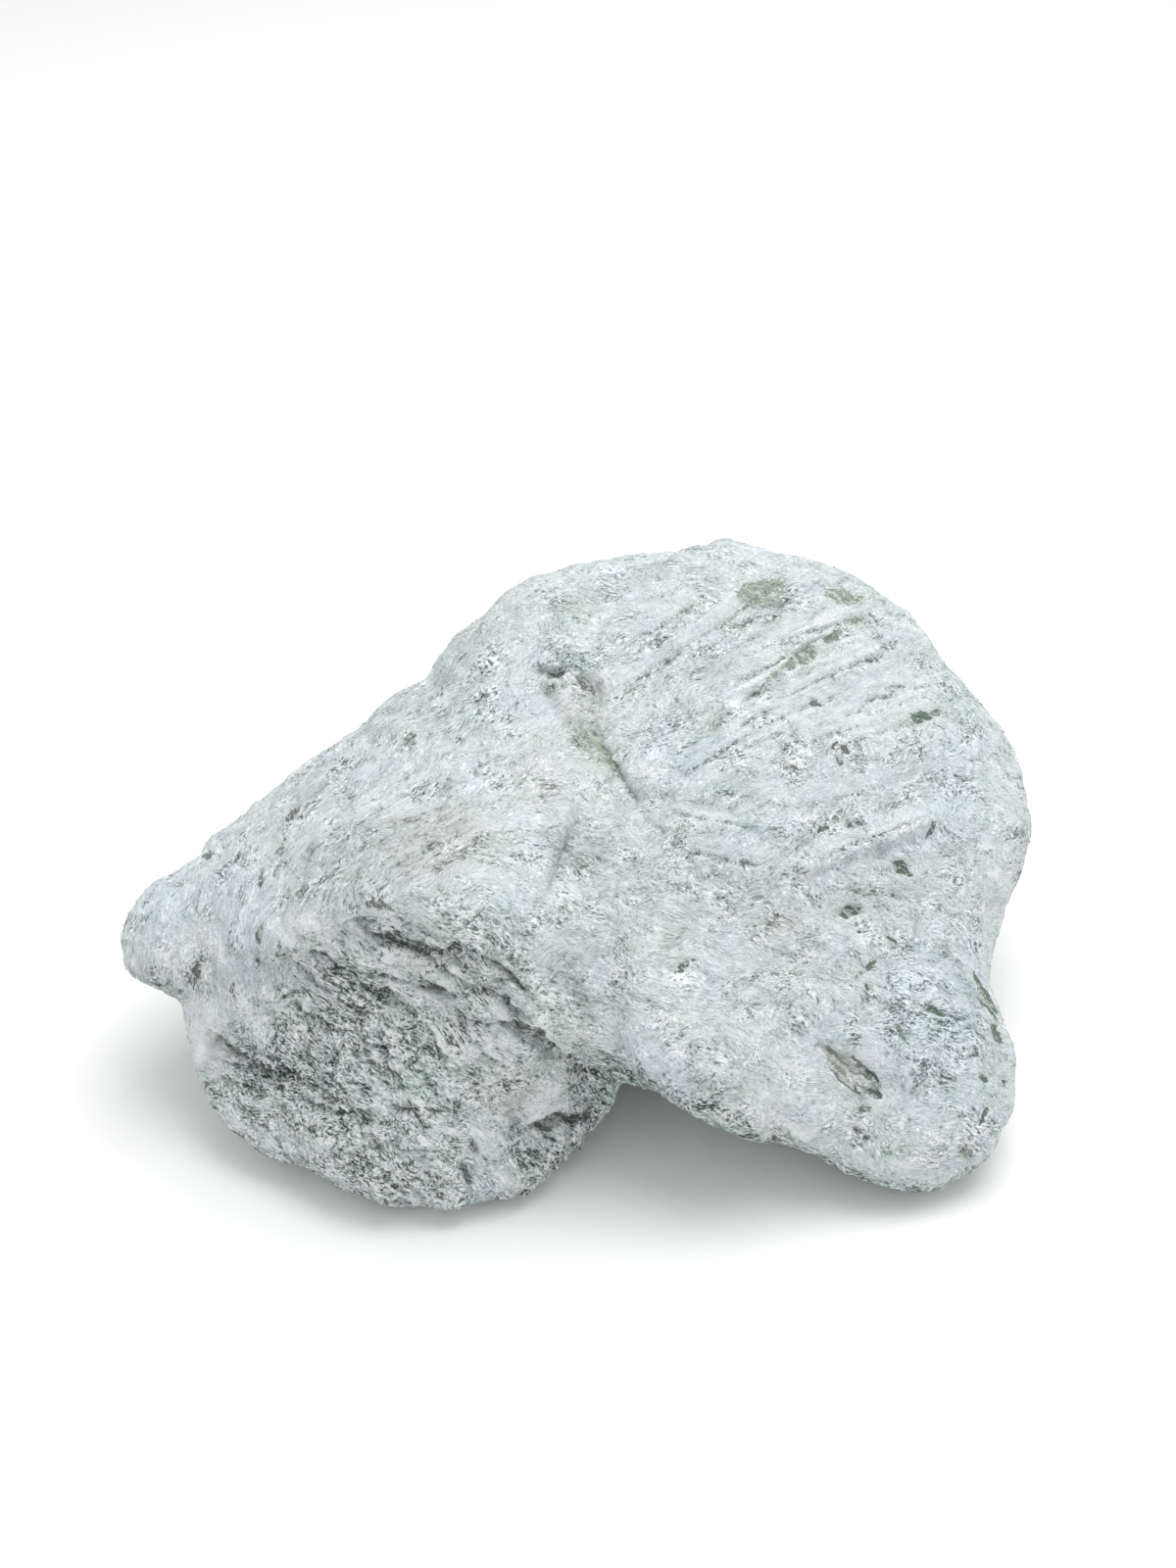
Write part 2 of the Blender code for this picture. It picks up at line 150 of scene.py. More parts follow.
# Chips where clean stone shows: oval, depth, colour and how clear they are. The colour is 0 for grey, 0.5 for
# olive and 1 for dark green.
CHIPS = [
    (52.7, 82.8, 8, 3.8, 14, 0.9, 0.5, 1), (78, 81.5, 7.4, 2.2, -12, 0.4, 0.55, 0.75),
    (75, 69.4, 3.6, 1.8, 25, 0.6, 0.55, 0.9), (67, 63.6, 4, 2.4, 40, 0.6, 0.6, 1),
    (62, 60.5, 3.2, 1.8, 30, 0.5, 0.55, 0.9), (56.4, 57.2, 2.8, 1, 32, 0.5, 0.55, 0.9),
    (103, 45, 5.6, 1.7, 6, 0.4, 0.75, 0.8), (82, 74, 2.4, 1.6, 30, 0.6, 0.35, 0.8),
    (92, 66, 3.2, 1.4, 12, 0.6, 0.1, 0.7), (87.5, 62, 3.2, 1.3, 10, 0.6, 0.1, 0.7),
    (93, 53, 4, 1.4, 8, 0.5, 0.15, 0.6), (69.6, 48.6, 2.4, 1.6, -30, 0.7, 0.1, 0.9),
    (75.4, 36, 1.5, 0.8, 40, 0.6, 0, 1), (78.4, 34.6, 2, 0.9, -50, 0.8, 0, 1),
    (77.4, 31.2, 1.8, 0.9, -70, 0.8, 0, 1), (80.2, 36.6, 1.2, 0.6, 20, 0.5, 0, 0.9),
    (62, 29, 2.6, 1, -20, 0.4, 0.1, 0.8), (72, 10, 3, 1.2, 30, 0.5, 0.1, 0.9),
    (82, 11.5, 3.4, 1.2, 25, 0.5, 0.1, 0.8), (105, 10, 3.2, 1.4, 60, 0.4, 0, 0.8),
    (38.6, 42, 4.4, 1.1, 45, 0.6, 0.2, 0.5), (6.5, 33.5, 10, 0.8, -57, 0, 0.6, 0.9),
    (12.4, 23, 5, 0.7, -57, 0, 0.5, 0.6), (2, 35, 9, 3.4, -50, 0, 0.4, 0.6),
    (-11, -79.5, 6.4, 2.5, 20, 0, 0.17, 0.7), (-10, 57.5, 4.4, 1, 4, 0, 0.1, 1),
    (-12.5, 53, 3, 1, 70, 0, 0.2, 0.7), (-0.5, 53.5, 4.8, 1.8, -60, 0, 0.15, 0.7),
    (79.5, -15, 4.2, 1.9, 10, 1.1, 0.8, 1), (96, -2, 4.4, 1.5, -50, 0.9, 0.95, 0.9),
    (93, -10.5, 6, 1, -22, 0.3, 0.8, 0.7), (92.8, -24, 2.4, 0.9, -35, 0.8, 0.95, 1),
    (86.5, -31.8, 2.3, 1.3, 50, 0.9, 0.95, 1), (83.4, -34.5, 1.8, 1.3, 20, 0.3, 0.6, 0.7),
    (28.9, -31.8, 3, 1.4, 20, 0.7, 0.9, 0.8), (106, -45.5, 4, 1.4, -24, 0.9, 1, 1),
    (85.6, -39.6, 2.6, 0.7, -80, 0.4, 0.9, 0.9), (79.5, -64, 13.6, 2.7, -39, 0.8, 0.36, 1),
    (84.8, -63.4, 7, 0.8, -42, 0.6, 0.85, 1), (78.6, -67.2, 8.6, 0.7, -42, 0.3, 0.85, 1),
    (87.5, -70.5, 3.4, 1.3, -38, 0.4, 0.85, 1), (96.7, -53, 4.2, 1.1, -52, 0.5, 0.2, 0.8),
    (121.5, -42, 9.5, 1.7, -65, 0.4, 0.8, 1), (124.6, -53, 3.4, 0.9, -62, 0.6, 0.95, 1),
    (121, -66, 2, 1.2, -50, 0.6, 0.9, 1), (127.3, -67, 0.8, 0.7, 0, 0.5, 0, 1),
    (82.4, -82.4, 1.9, 1, -60, 0.8, 0, 1), (85.6, -84.2, 1.6, 0.9, 20, 0.7, 0, 1),
    (84, -75.7, 3.2, 1.3, 10, 0.3, 0.15, 0.6), (97.5, -78, 4, 1.2, -15, 0.3, 0.15, 0.6),
    (116, -89.5, 2.2, 1.5, 60, 0, 0.3, 1), (121, -77.6, 3.8, 0.9, 72, 0.5, 0.9, 1),
    (-87, -8.5, 1.5, 1.1, 20, 0.6, 0.05, 1), (-99.9, -5.6, 3.8, 0.8, 85, 0.4, 0.05, 0.9),
    (-100.4, -22, 3.2, 1, 84, 0.6, 0.05, 1), (-101, -29, 3, 0.8, 86, 0.5, 0.05, 0.9),
    (-94.6, -26.7, 4, 0.7, 84, 0.3, 0.05, 0.8), (-109, -38.7, 2.2, 0.7, 80, 0.4, 0.05, 0.8),
    (-119, -32, 5, 2, 76, 0.4, 0, 0.6), (-93.6, 4.3, 4, 1.4, 60, 0.4, 0.05, 0.7),
    (-90, 15, 4, 1.1, 50, 0.4, 0.05, 0.8), (-117, 1.5, 4, 1.2, 42, 0.4, 0.15, 0.7),
    (-63.6, -13, 5, 1.3, -12, 0, 0.1, 0.9), (-35.4, -87, 1.6, 0.6, 70, 0, 0, 1),
    (-37, -95.5, 2.4, 0.8, 74, 0, 0, 1), (-109, -57, 4.4, 0.9, -35, 0.5, 0, 1),
    (-100, -62.5, 4, 0.8, -25, 0.4, 0, 0.9), (-70, -20, 4, 0.7, -10, 0, 0, 0.7),
    (-2, -77.6, 4.4, 1.8, 24, 0.5, 0, 0.9), (56.7, -84.5, 2, 1.2, 10, 0, 0.8, 0.8),
]

# Chalky inclusions inside the chips, as ovals.
INCLUSIONS = [(82.4, -66.4, 4.6, 1, -32), (71.5, -59, 2.6, 1.6, -60)]

# Where the three kinds of grain in the skin lie.
FAN_OVAL = (62, 44, 66, 46, 15)
FLANK_OVAL = (-112, -18, 40, 46, 0)
SHOULDER_OVAL = (-54, 26, 60, 30, 40)

# Soft patches: oval, strength.
CALM_PATCHES = [(-36, -56, 30, 22, -30, 1.0), (-32, -92, 24, 10, 0, 1.0)]
BARE_PATCHES = [
    (-60, -13, 12, 4, -6, 0.4), (-36, -20, 16, 7, -24, 0.8), (-14, -40, 17, 7, -46, 0.8),
    (6, -57, 8, 4, -20, 0.6), (-30, -12, 10, 6, -30, 0.35),
]
PATCHES = {
    # Partly dark stone, partly painted shade in the notch and in the hollows of the broken face.
    "dark": [
        (-70, -36, 13, 9, -40, 0.6), (-90, -63, 20, 8, -22, 0.5), (-75, -83, 10, 9, 0, 0.9),
        (-50, -68, 8, 8, 0, 0.5), (-54, -98, 14, 5, 0, 0.6), (-63, -97, 6, 4, 0, 0.7),
        (-8, -78.5, 6.5, 3, 20, 1), (-5, -89, 8, 5, 40, 1.2), (5, -74, 5, 10, 0, 0.9),
        (8, -63, 7, 2.6, -8, 0.9), (-118, -32, 5, 3, 76, 0.6), (47, 75, 7, 2, 30, 0.45),
        (100, -44, 8, 5, -20, 0.4), (80, -54, 4, 3, -50, 0.9), (114, -52, 9, 6, -20, 0.5),
        (122, -78, 4, 9, 0, 0.5), (-132, -22, 6, 4, 20, 0.5), (76, 33, 6, 6, 0, 0.5),
    ],
    "pale": [
        (-38, -84, 13, 9, 0, 0.7), (-104, -84, 12, 5, -30, 0.5), (-28, -97, 16, 5, 0, 0.5),
        (-32, -58, 20, 12, -30, 0.35), (30, -48, 26, 9, -14, 0.4), (-42, 36, 10, 7, 0, 0.5),
        (72, 75, 14, 3, 16, 0.5), (96, -32, 8, 4, 20, 0.4), (43.8, 47.3, 2.6, 2.1, -30, 2.4),
        (-104, -48, 13, 8, 45, 0.8), (-22, -77, 7, 9, 0, 1), (-16, -70, 8, 5, -30, 0.8),
        (-124, -20, 13, 14, 0, 1), (-106, -22, 12, 12, 0, 0.6), (120, -8, 10, 14, 0, 0.6),
        (2, 57, 9, 6, -50, 0.6), (58, -75, 12, 4, -20, 0.6), (17, 24, 7, 14, 0, 0.9),
        (80, -64, 14, 4, -40, 0.8), (-84, -23, 22, 8, 5, 1.6), (-52, -36, 17, 8, -22, 1.6),
        (-15, -75, 7, 13, -25, 1.8), (98, -57, 14, 9, 0, 0.4), (-112, -24, 14, 6, 0, 0.8),
        (-116, -55, 14, 9, -60, 1.3), (86, -58, 11, 8, -60, 1.3), (60, -80, 11, 5, -20, 1.3),
        (101, 10, 9, 7, 0, 0.6), (82, 1, 8, 6, 0, 0.6), (-4, 64, 8, 5, -30, 1), (76, 68, 12, 6, 30, 0.5),
        (24, -60, 13, 5, -20, 0.9), (12, 6, 7, 6, 0, 0.6), (40, -62, 8, 5, -20, 0.7),
    ],
    "dull": [
        (-62, 2, 36, 13, 8, 0.9), (0, -40, 15, 8, -20, 0.8), (12, 2, 20, 10, -10, 0.7),
        (42, 0, 13, 7, 0, 0.5), (38, 44, 10, 8, 20, 0.8), (-4, 2, 14, 9, -20, 1.4),
        (15, -10, 11, 6, 0, 0.8), (46, 21, 10, 8, 0, 0.7), (59, 38, 9, 6, 30, 0.7), (42, 58, 9, 6, 30, 0.6),
        (34, -67, 8, 3, -25, 1), (114, 46, 8, 16, 30, 0.4), (-26, -20, 15, 8, -40, 1),
        (3, -76, 5, 9, 0, 0.6), (-36, 36, 8, 8, 0, 0.5), (52, -44, 14, 6, -16, 0.4),
        (56, 50, 10, 8, 20, 0.4), (118, -46, 6, 14, 0, 0.5), (-42, 50, 9, 20, -40, 0.7),
        (56, 83, 10, 6, 20, 0.9), (54, 78, 11, 7, 20, 1.4), (-30, -26, 16, 7, -45, 1.5),
        (-4, -38, 15, 8, -60, 1.2), (42, -7, 18, 6, 0, 1.1), (82, -31, 13, 6, 10, 0.7),
        (-82, 20, 15, 7, 40, 0.7), (-62, 42, 10, 6, 40, 0.6), (30, 32, 9, 5, 30, 0.6),
        (80, 86, 10, 3, -20, 0.5), (-14, 54, 6, 6, 0, 0.6), (-45, -12, 16, 4, -10, 1),
        (0, 82, 12, 6, 0, 0.6), (-92, 8, 14, 8, 30, 0.5), (-62, -64, 8, 9, -60, 0.5),
    ],
    "green": [
        (-4, 63, 7, 5, 0, 0.7), (-6, 74, 5, 3, 0, 0.5), (-40, 46, 7, 5, 0, 0.5), (41, 23, 5, 3, -20, 0.7),
        (48, 12, 7, 3, -20, 0.6), (92, -8, 9, 4, -20, 0.5), (81, -55, 5, 3.4, 0, 0.7),
        (94, -89, 5, 2, 0, 0.6), (-51, -65, 7, 8, 0, 0.6), (-48, -36, 12, 3, 0, 0.4),
        (112, -50, 8, 5, -10, 0.4), (122, -66, 5, 8, 0, 0.4), (100, 78, 6, 2, -50, 0.4),
        (114, 52, 3, 12, 25, 0.5),
    ],
    "warm": [
        (-46, 6, 22, 14, 10, 0.6), (-14, 26, 14, 14, 0, 0.35), (-2, 48, 8, 10, 0, 0.6),
        (5, 32, 10, 5, -58, 0.4), (-24, -70, 10, 9, 0, 0.6), (58, -20, 8, 6, 0, 0.4),
        (78, -66, 9, 4, -41, 0.5), (82, -68, 4, 1.6, -41, 0.9),
    ],
    "olive": [
        (3, 34, 14, 6, -54, 1.2), (-12, 53, 5, 4, 0, 0.6), (-1, 53, 6, 3, -60, 0.6),
        (52, 82, 9, 5, 14, 0.7), (46, 77, 8, 2.6, 30, 0.5), (26, 73, 8, 2.6, 36, 0.35),
        (78, 81, 9, 3.4, -12, 0.7), (66, 63, 12, 3.6, 33, 0.7), (82, 74, 6, 3, 20, 0.5),
        (38, 42, 6, 3, 45, 0.6), (103, 45, 7, 3, 6, 0.6), (-50, -34, 14, 6, -20, 0.35),
        (80, -15, 7, 4, 0, 0.5),
    ],
    # Patches of stronger fine grain, whose bright and dark specks are partly painted glints.
    "sparkly": [
        (106, -52, 18, 22, 0, 0.85), (-119, -32, 8, 6, 70, 0.9), (-108, -4, 9, 16, -20, 0.5),
        (80, 10, 16, 8, 10, 0.5), (-6, 62, 12, 7, 0, 0.7), (-94, -62, 20, 14, -20, 0.7),
        (-62, -96, 12, 6, 0, 0.9), (80, -53, 6, 4, -50, 1), (84, -83.5, 5, 4, 0, 0.9),
        (28, 44, 10, 6, -30, 0.5), (90, -18, 16, 8, -30, 0.5), (-36, 48, 10, 7, 0, 0.5),
        (62, 29, 6, 4, 0, 0.7), (-75, -36, 14, 10, -30, 0.6),
    ],
    "cool": [
        (99, -38, 8, 6, 0, 0.7), (114, -50, 9, 6, -20, 0.75), (108, -72, 14, 6, -20, 0.6),
        (36, 33, 14, 5, 33, 0.6), (88, -60, 6, 10, 0, 0.4), (104, -50, 22, 32, 0, 0.7),
        (20, -62, 18, 9, -30, 0.6), (-128, -14, 12, 9, 40, 0.8), (-104, -20, 12, 26, 10, 0.5),
        (112, 20, 12, 26, 0, 0.5), (-100, -62, 10, 9, 0, 0.5),
    ],
}

# The fan of tool strokes at the upper right: where it starts, its slope there, how fast that falls off, how
# far apart its strokes are, its reach as an oval, and how much their fibres are squeezed along them.
FAN_START = 19.0
FAN_SLOPE = 0.80
FAN_FLATTENING = 0.0050
FAN_SPACING = 7.4
STROKE_OVAL = (68, 58, 50, 32, 20)
FIBRE = 0.07

# Each layer of the leafy break: its thickness, and how sharp its lip is.
LEAVES = [(2.3, 0.80), (0.95, 0.74)]
LEAF_DIP = 0.20

# Shades of the chalky skin and of bare stone, from dark to light: tone, then red, green and blue.
CHALK_SHADES = [
    (0.0, (0.10, 0.125, 0.115)), (0.25, (0.27, 0.31, 0.30)), (0.5, (0.496, 0.557, 0.557)),
    (0.72, (0.63, 0.686, 0.705)), (1.0, (0.84, 0.87, 0.88)),
]
BARE_SHADES = [
    (0.0, (0.05, 0.068, 0.058)), (0.2, (0.185, 0.235, 0.215)), (0.42, (0.425, 0.505, 0.485)),
    (0.7, (0.61, 0.695, 0.685)), (1.0, (0.88, 0.90, 0.895)),
]
CLEAN_GREY = (0.12, 0.14, 0.135, 1)
CLEAN_OLIVE = (0.325, 0.385, 0.31, 1)
CLEAN_GREEN = (0.08, 0.125, 0.095, 1)
CLEAN_BRIGHT = (0.60, 0.66, 0.62, 1)
CLEAN_DIM = (0.06, 0.08, 0.065, 1)

# Stains that multiply the colour: their patches, the haze at which they start and are full, and their colour.
STAINS = [
    ("warm", 0.56, 0.7, (0.955, 0.90, 0.86, 1)), ("cool", 0.48, 0.34, (0.89, 0.935, 1.0, 1)),
    ("green", 0.53, 0.62, (0.90, 0.985, 0.95, 1)), ("olive", 0.8, 0.9, (0.82, 0.86, 0.785, 1)),
]

FLOOR_WIDTH = 6.0
SKY_STRENGTH = 0.76
LAMP_PLACE = (0.22, 0.20, 1.12)
LAMP_WIDTH = 0.9
LAMP_WATTS = 9.0


def smoothstep(low, high, value):
    t = np.clip((value - low) / (high - low), 0, 1)
    return t * t * (3 - 2 * t)


def between(amount, low, high, leaving, gone, value):
    """The amount where the value is from high to leaving, falling to 0 at low and at gone."""
    return amount * smoothstep(low, high, value) * (1 - smoothstep(leaving, gone, value))


def shuffled(cells, seed):
    """A number from 0 to 1 for each grid cell, the same each run."""
    mixed = cells[:, 0] * 73856093 ^ cells[:, 1] * 19349663 ^ cells[:, 2] * 83492791
    mixed = mixed ^ (seed * 50331653 + 12345)
    mixed = (mixed ^ (mixed >> 15)) * 2246822519 & 0xFFFFFFFF
    mixed = (mixed ^ (mixed >> 13)) * 3266489917 & 0xFFFFFFFF
    return ((mixed ^ (mixed >> 16)) & 0xFFFFF) / 2.0 ** 20


def lumps(points, size, seed):
    """Smooth gradient noise, about -1 to 1, whose lumps are this many millimetres across."""
    places = points / size + seed * 3.7
    cells = np.floor(places).astype(np.int64)
    inside = places - cells
    fade = inside ** 3 * (inside * (inside * 6 - 15) + 10)
    total = np.zeros(len(points))
    for corner in itertools.product((0, 1), repeat=3):
        grid = cells + corner
        weight = np.prod(np.where(corner, fade, 1 - fade), axis=1)
        lean = np.stack([shuffled(grid, seed * 3 + axis) * 2 - 1 for axis in range(3)], axis=1)
        total += weight * np.sum(lean * (inside - corner), axis=1)
    return total * 1.5


def layered(points, size, seed, octaves=3):
    """Noise at several sizes, each half as large as the one before."""
    total = np.zeros(len(points))
    for octave in range(octaves):
        total += 0.5 ** octave * lumps(points, size / 2 ** octave, seed + 11 * octave)
    return total


def drift(points, size, seed):
    """A smooth random offset for each point, about -1 to 1 along each axis."""
    return np.stack([lumps(points, size, seed + axis) for axis in range(3)], axis=1)


def along_surface(slope, faces):
    """The direction on a surface that faces this way, which shows at this slope from the eye."""
    slope = math.radians(slope)
    faces = np.array(faces)
    flat = math.cos(slope) * RIGHT + math.sin(slope) * UP
    direction = flat - (flat @ faces) / (BACK @ faces) * BACK
    return direction / np.linalg.norm(direction)


def streaks(points, grain, size, stretch, seed):
    """Noise drawn out along a way of the grain."""
    direction = along_surface(*grain)
    along = points @ direction
    squeezed = points - (1 - 1 / stretch) * along[:, None] * direction
    return layered(squeezed, size, seed, 2)


def read(items, name, width, kind=np.float32):
    """One row of numbers for each item."""
    flat = np.empty(len(items) * width, kind)
    items.foreach_get(name, flat)
    return flat.reshape(-1, width)


def points_of(mesh):
    return read(mesh.vertices, "co", 3).astype(float) / MM


def set_points(mesh, points):
    mesh.vertices.foreach_set("co", (points * MM).astype(np.float32).ravel())
    mesh.update()


def edges_of(mesh):
    return read(mesh.edges, "vertices", 2, np.int32)


def smoothed(values, edges, passes):
    """Moves each point's values halfway to the mean of its neighbours', this many times."""
    count = np.maximum(np.bincount(edges.ravel(), minlength=len(values)), 1)
    columns = values.reshape(len(values), -1).copy()
    for _ in range(passes):
        for axis in range(columns.shape[1]):
            column = columns[:, axis]
            total = np.bincount(edges[:, 0], column[edges[:, 1]], len(column))
            total += np.bincount(edges[:, 1], column[edges[:, 0]], len(column))
            columns[:, axis] = (column + total / count) / 2
    return columns.reshape(values.shape)


def in_front_view(points):
    """(right, up) of each point as it shows from the eye."""
    rel = points - EYE
    scale = EYE_DISTANCE / (rel @ -BACK)
    return np.stack([rel @ RIGHT * scale, rel @ UP * scale], axis=1)


def from_segment(flat, start, end):
    """Each place's share of the way along a segment, its height over the line, and its distance."""
    start = np.array(start, float)
    along = np.array(end, float) - start
    rel = flat - start
    share = rel @ along / (along @ along)
    over = (along[0] * rel[:, 1] - along[1] * rel[:, 0]) / np.linalg.norm(along)
    return share, over, np.linalg.norm(rel - np.clip(share, 0, 1)[:, None] * along, axis=1)


def below_line(flat, line):
    """Distance of each place below a line drawn from left to right, negative above it."""
    nearest = np.full(len(flat), 1e9)
    below = np.zeros(len(flat), bool)
    for start, end in zip(line, line[1:]):
        _, over, distance = from_segment(flat, start, end)
        closer = distance < nearest
        nearest[closer] = distance[closer]
        below[closer] = over[closer] < 0
    return np.where(below, nearest, -nearest)


def in_oval(flat, right, up, half_length, half_width, slope):
    """Distance from an oval's middle, where 1 is its edge."""
    slope = math.radians(slope)
    rel = flat - np.array((right, up), float)
    along = rel[:, 0] * math.cos(slope) + rel[:, 1] * math.sin(slope)
    over = rel[:, 1] * math.cos(slope) - rel[:, 0] * math.sin(slope)
    return np.hypot(along / half_length, over / half_width)


def patches(flat, spots):
    amount = np.zeros(len(flat))
    for *oval, strength in spots:
        amount = np.maximum(amount, strength * (1 - smoothstep(0.35, 1.25, in_oval(flat, *oval))))
    return amount


def new_object(name, data):
    made = bpy.data.objects.new(name, data)
    bpy.context.scene.collection.objects.link(made)
    return made


def plain_copy(node):
    """The node's mesh as one skin, with its doubled corners merged."""
    shape = bmesh.new()
    shape.from_mesh(node.data)
    bmesh.ops.remove_doubles(shape, verts=shape.verts, dist=1e-6)
    mesh = bpy.data.meshes.new("stone_skin")
    shape.to_mesh(mesh)
    shape.free()
    return new_object("stone", mesh)


def bake_modifiers(obj):
    bpy.context.view_layer.update()
    graph = bpy.context.evaluated_depsgraph_get()
    mesh = bpy.data.meshes.new_from_object(obj.evaluated_get(graph))
    obj.modifiers.clear()
    obj.data = mesh


def fine_skin(node):
    """An even, fine skin over the solid, with the solid's flat facets rounded off."""
    stone = plain_copy(node)
    even = stone.modifiers.new("even", "REMESH")
    even.mode = "VOXEL"
    even.voxel_size = SKIN_VOXEL * MM
    bake_modifiers(stone)
    points = points_of(stone.data)
    resting = points[:, 2] < 0.3
    points = smoothed(points, edges_of(stone.data), FACET_ROUNDING)
    points[resting, 2] = 0
    set_points(stone.data, points)
    return stone


def shape_zones(points, normals):
    """Where each kind of surface is, from 0 to 1, and where each point shows from the eye."""
    flat = in_front_view(points)
    to_eye = EYE - points
    to_eye /= np.linalg.norm(to_eye, axis=1)[:, None]
    facing = smoothstep(0.02, 0.3, np.sum(normals * to_eye, axis=1))
    ragged = 3.4 * lumps(points, 12, 21) + 1.8 * lumps(points, 5, 22)
    below = below_line(flat, CREST) + ragged
    seen_break = smoothstep(0, 4, below) * (1 - smoothstep(6, 14, flat[:, 0] + ragged)) * facing
    hidden_patches = smoothstep(-0.05, 0.35, layered(points, 62, 31, 2))
    hidden_break = (1 - facing) * hidden_patches * smoothstep(0.1, 0.6, 1 - np.abs(normals @ ACROSS_LAYERS))
    hidden_grain = layered(points, 48, 35, 2)
    fan = 1 - smoothstep(0.8, 1.1, in_oval(flat, *FAN_OVAL) + 0.1 * ragged)
    flank = 1 - smoothstep(0.85, 1.15, in_oval(flat, *FLANK_OVAL) + 0.08 * ragged)
    shoulder = 1 - smoothstep(0.85, 1.15, in_oval(flat, *SHOULDER_OVAL) + 0.08 * ragged)
    return {
        "flat": flat, "facing": facing,
        "broken": np.maximum(seen_break, 0.85 * hidden_break),
        "fan": np.where(facing > 0.05, fan, smoothstep(0.1, 0.2, hidden_grain)),
        "flank": np.where(facing > 0.05, flank, smoothstep(-0.1, -0.2, hidden_grain)),
        "shoulder": shoulder * facing,
    }


def fan_of_strokes(points, zones):
    """The long tool strokes at the upper right: depth, grooves, smeared tops, reach, and place in them."""
    flat = zones["flat"]
    run = np.maximum(flat[:, 0] - FAN_START, 0)
    slope = np.maximum(FAN_SLOPE - FAN_FLATTENING * run, 0.2)
    curve = FAN_SLOPE * run - FAN_FLATTENING * run ** 2 / 2
    over = (flat[:, 1] - curve) / np.hypot(1, slope)
    wave = over / FAN_SPACING + 0.8 * lumps(points, 26, 41) + 0.10 * lumps(points, 8, 42)
    strip = np.floor(wave)
    share = wave - strip
    each = np.stack([flat[:, 0], 40 * strip, 0 * strip], axis=1)
    lasting = smoothstep(-0.1, 0.4, lumps(each, 13, 46))
    groove = (1 - smoothstep(0.02, 0.15, np.minimum(share, 1 - share))) * lasting
    tilt = (share - 0.5) * (0.5 + lumps(each, 22, 44))
    near = 1 - smoothstep(0.5, 1.05, in_oval(flat, *STROKE_OVAL) + 0.25 * lumps(points, 14, 45))
    near = near * zones["facing"]
    rise = lumps(each, 30, 43)
    place = np.stack([flat[:, 0] * FIBRE, over, 5 * strip], axis=1)
    depth = near * (0.8 * groove - 0.9 * tilt - 0.6 * rise)
    return depth, near * groove, near * smoothstep(0.0, 0.5, rise), near, place


def leafy_break(points, zones):
    """The broken faces: thin layers that end one above the other in scalloped, ragged lips, with a line of
    painted shade along each lip.
    """
    warped = points + 4.0 * drift(points, 15, 51) + 1.5 * drift(points, 4.5, 55)
    lean = math.radians(BREAK_GRAIN[0] + 90)
    up_the_break = math.cos(lean) * RIGHT + math.sin(lean) * UP
    slope = LEAF_DIP * (points @ up_the_break)
    rise = slope + 2.2 * layered(warped, 19, 58, 2)
    height = -slope
    lip = np.zeros(len(points))
    for thickness, sharpness in LEAVES:
        level = rise / thickness
        share = level - np.floor(level)
        step = smoothstep(sharpness, 1.0, share)
        height += thickness * (np.floor(level) + step) / len(LEAVES)
        # A thin band at each lip, painted darker as the shade under an overhang.
        edge = 1 - smoothstep(0.0, 0.13, np.abs(share - sharpness + 0.05))
        lip = np.maximum(lip, edge * min(1, thickness / 1.6))
    calm = 1 - 0.55 * patches(zones["flat"], CALM_PATCHES)
    leafy = zones["broken"] * calm
    return -height * leafy, lip * leafy


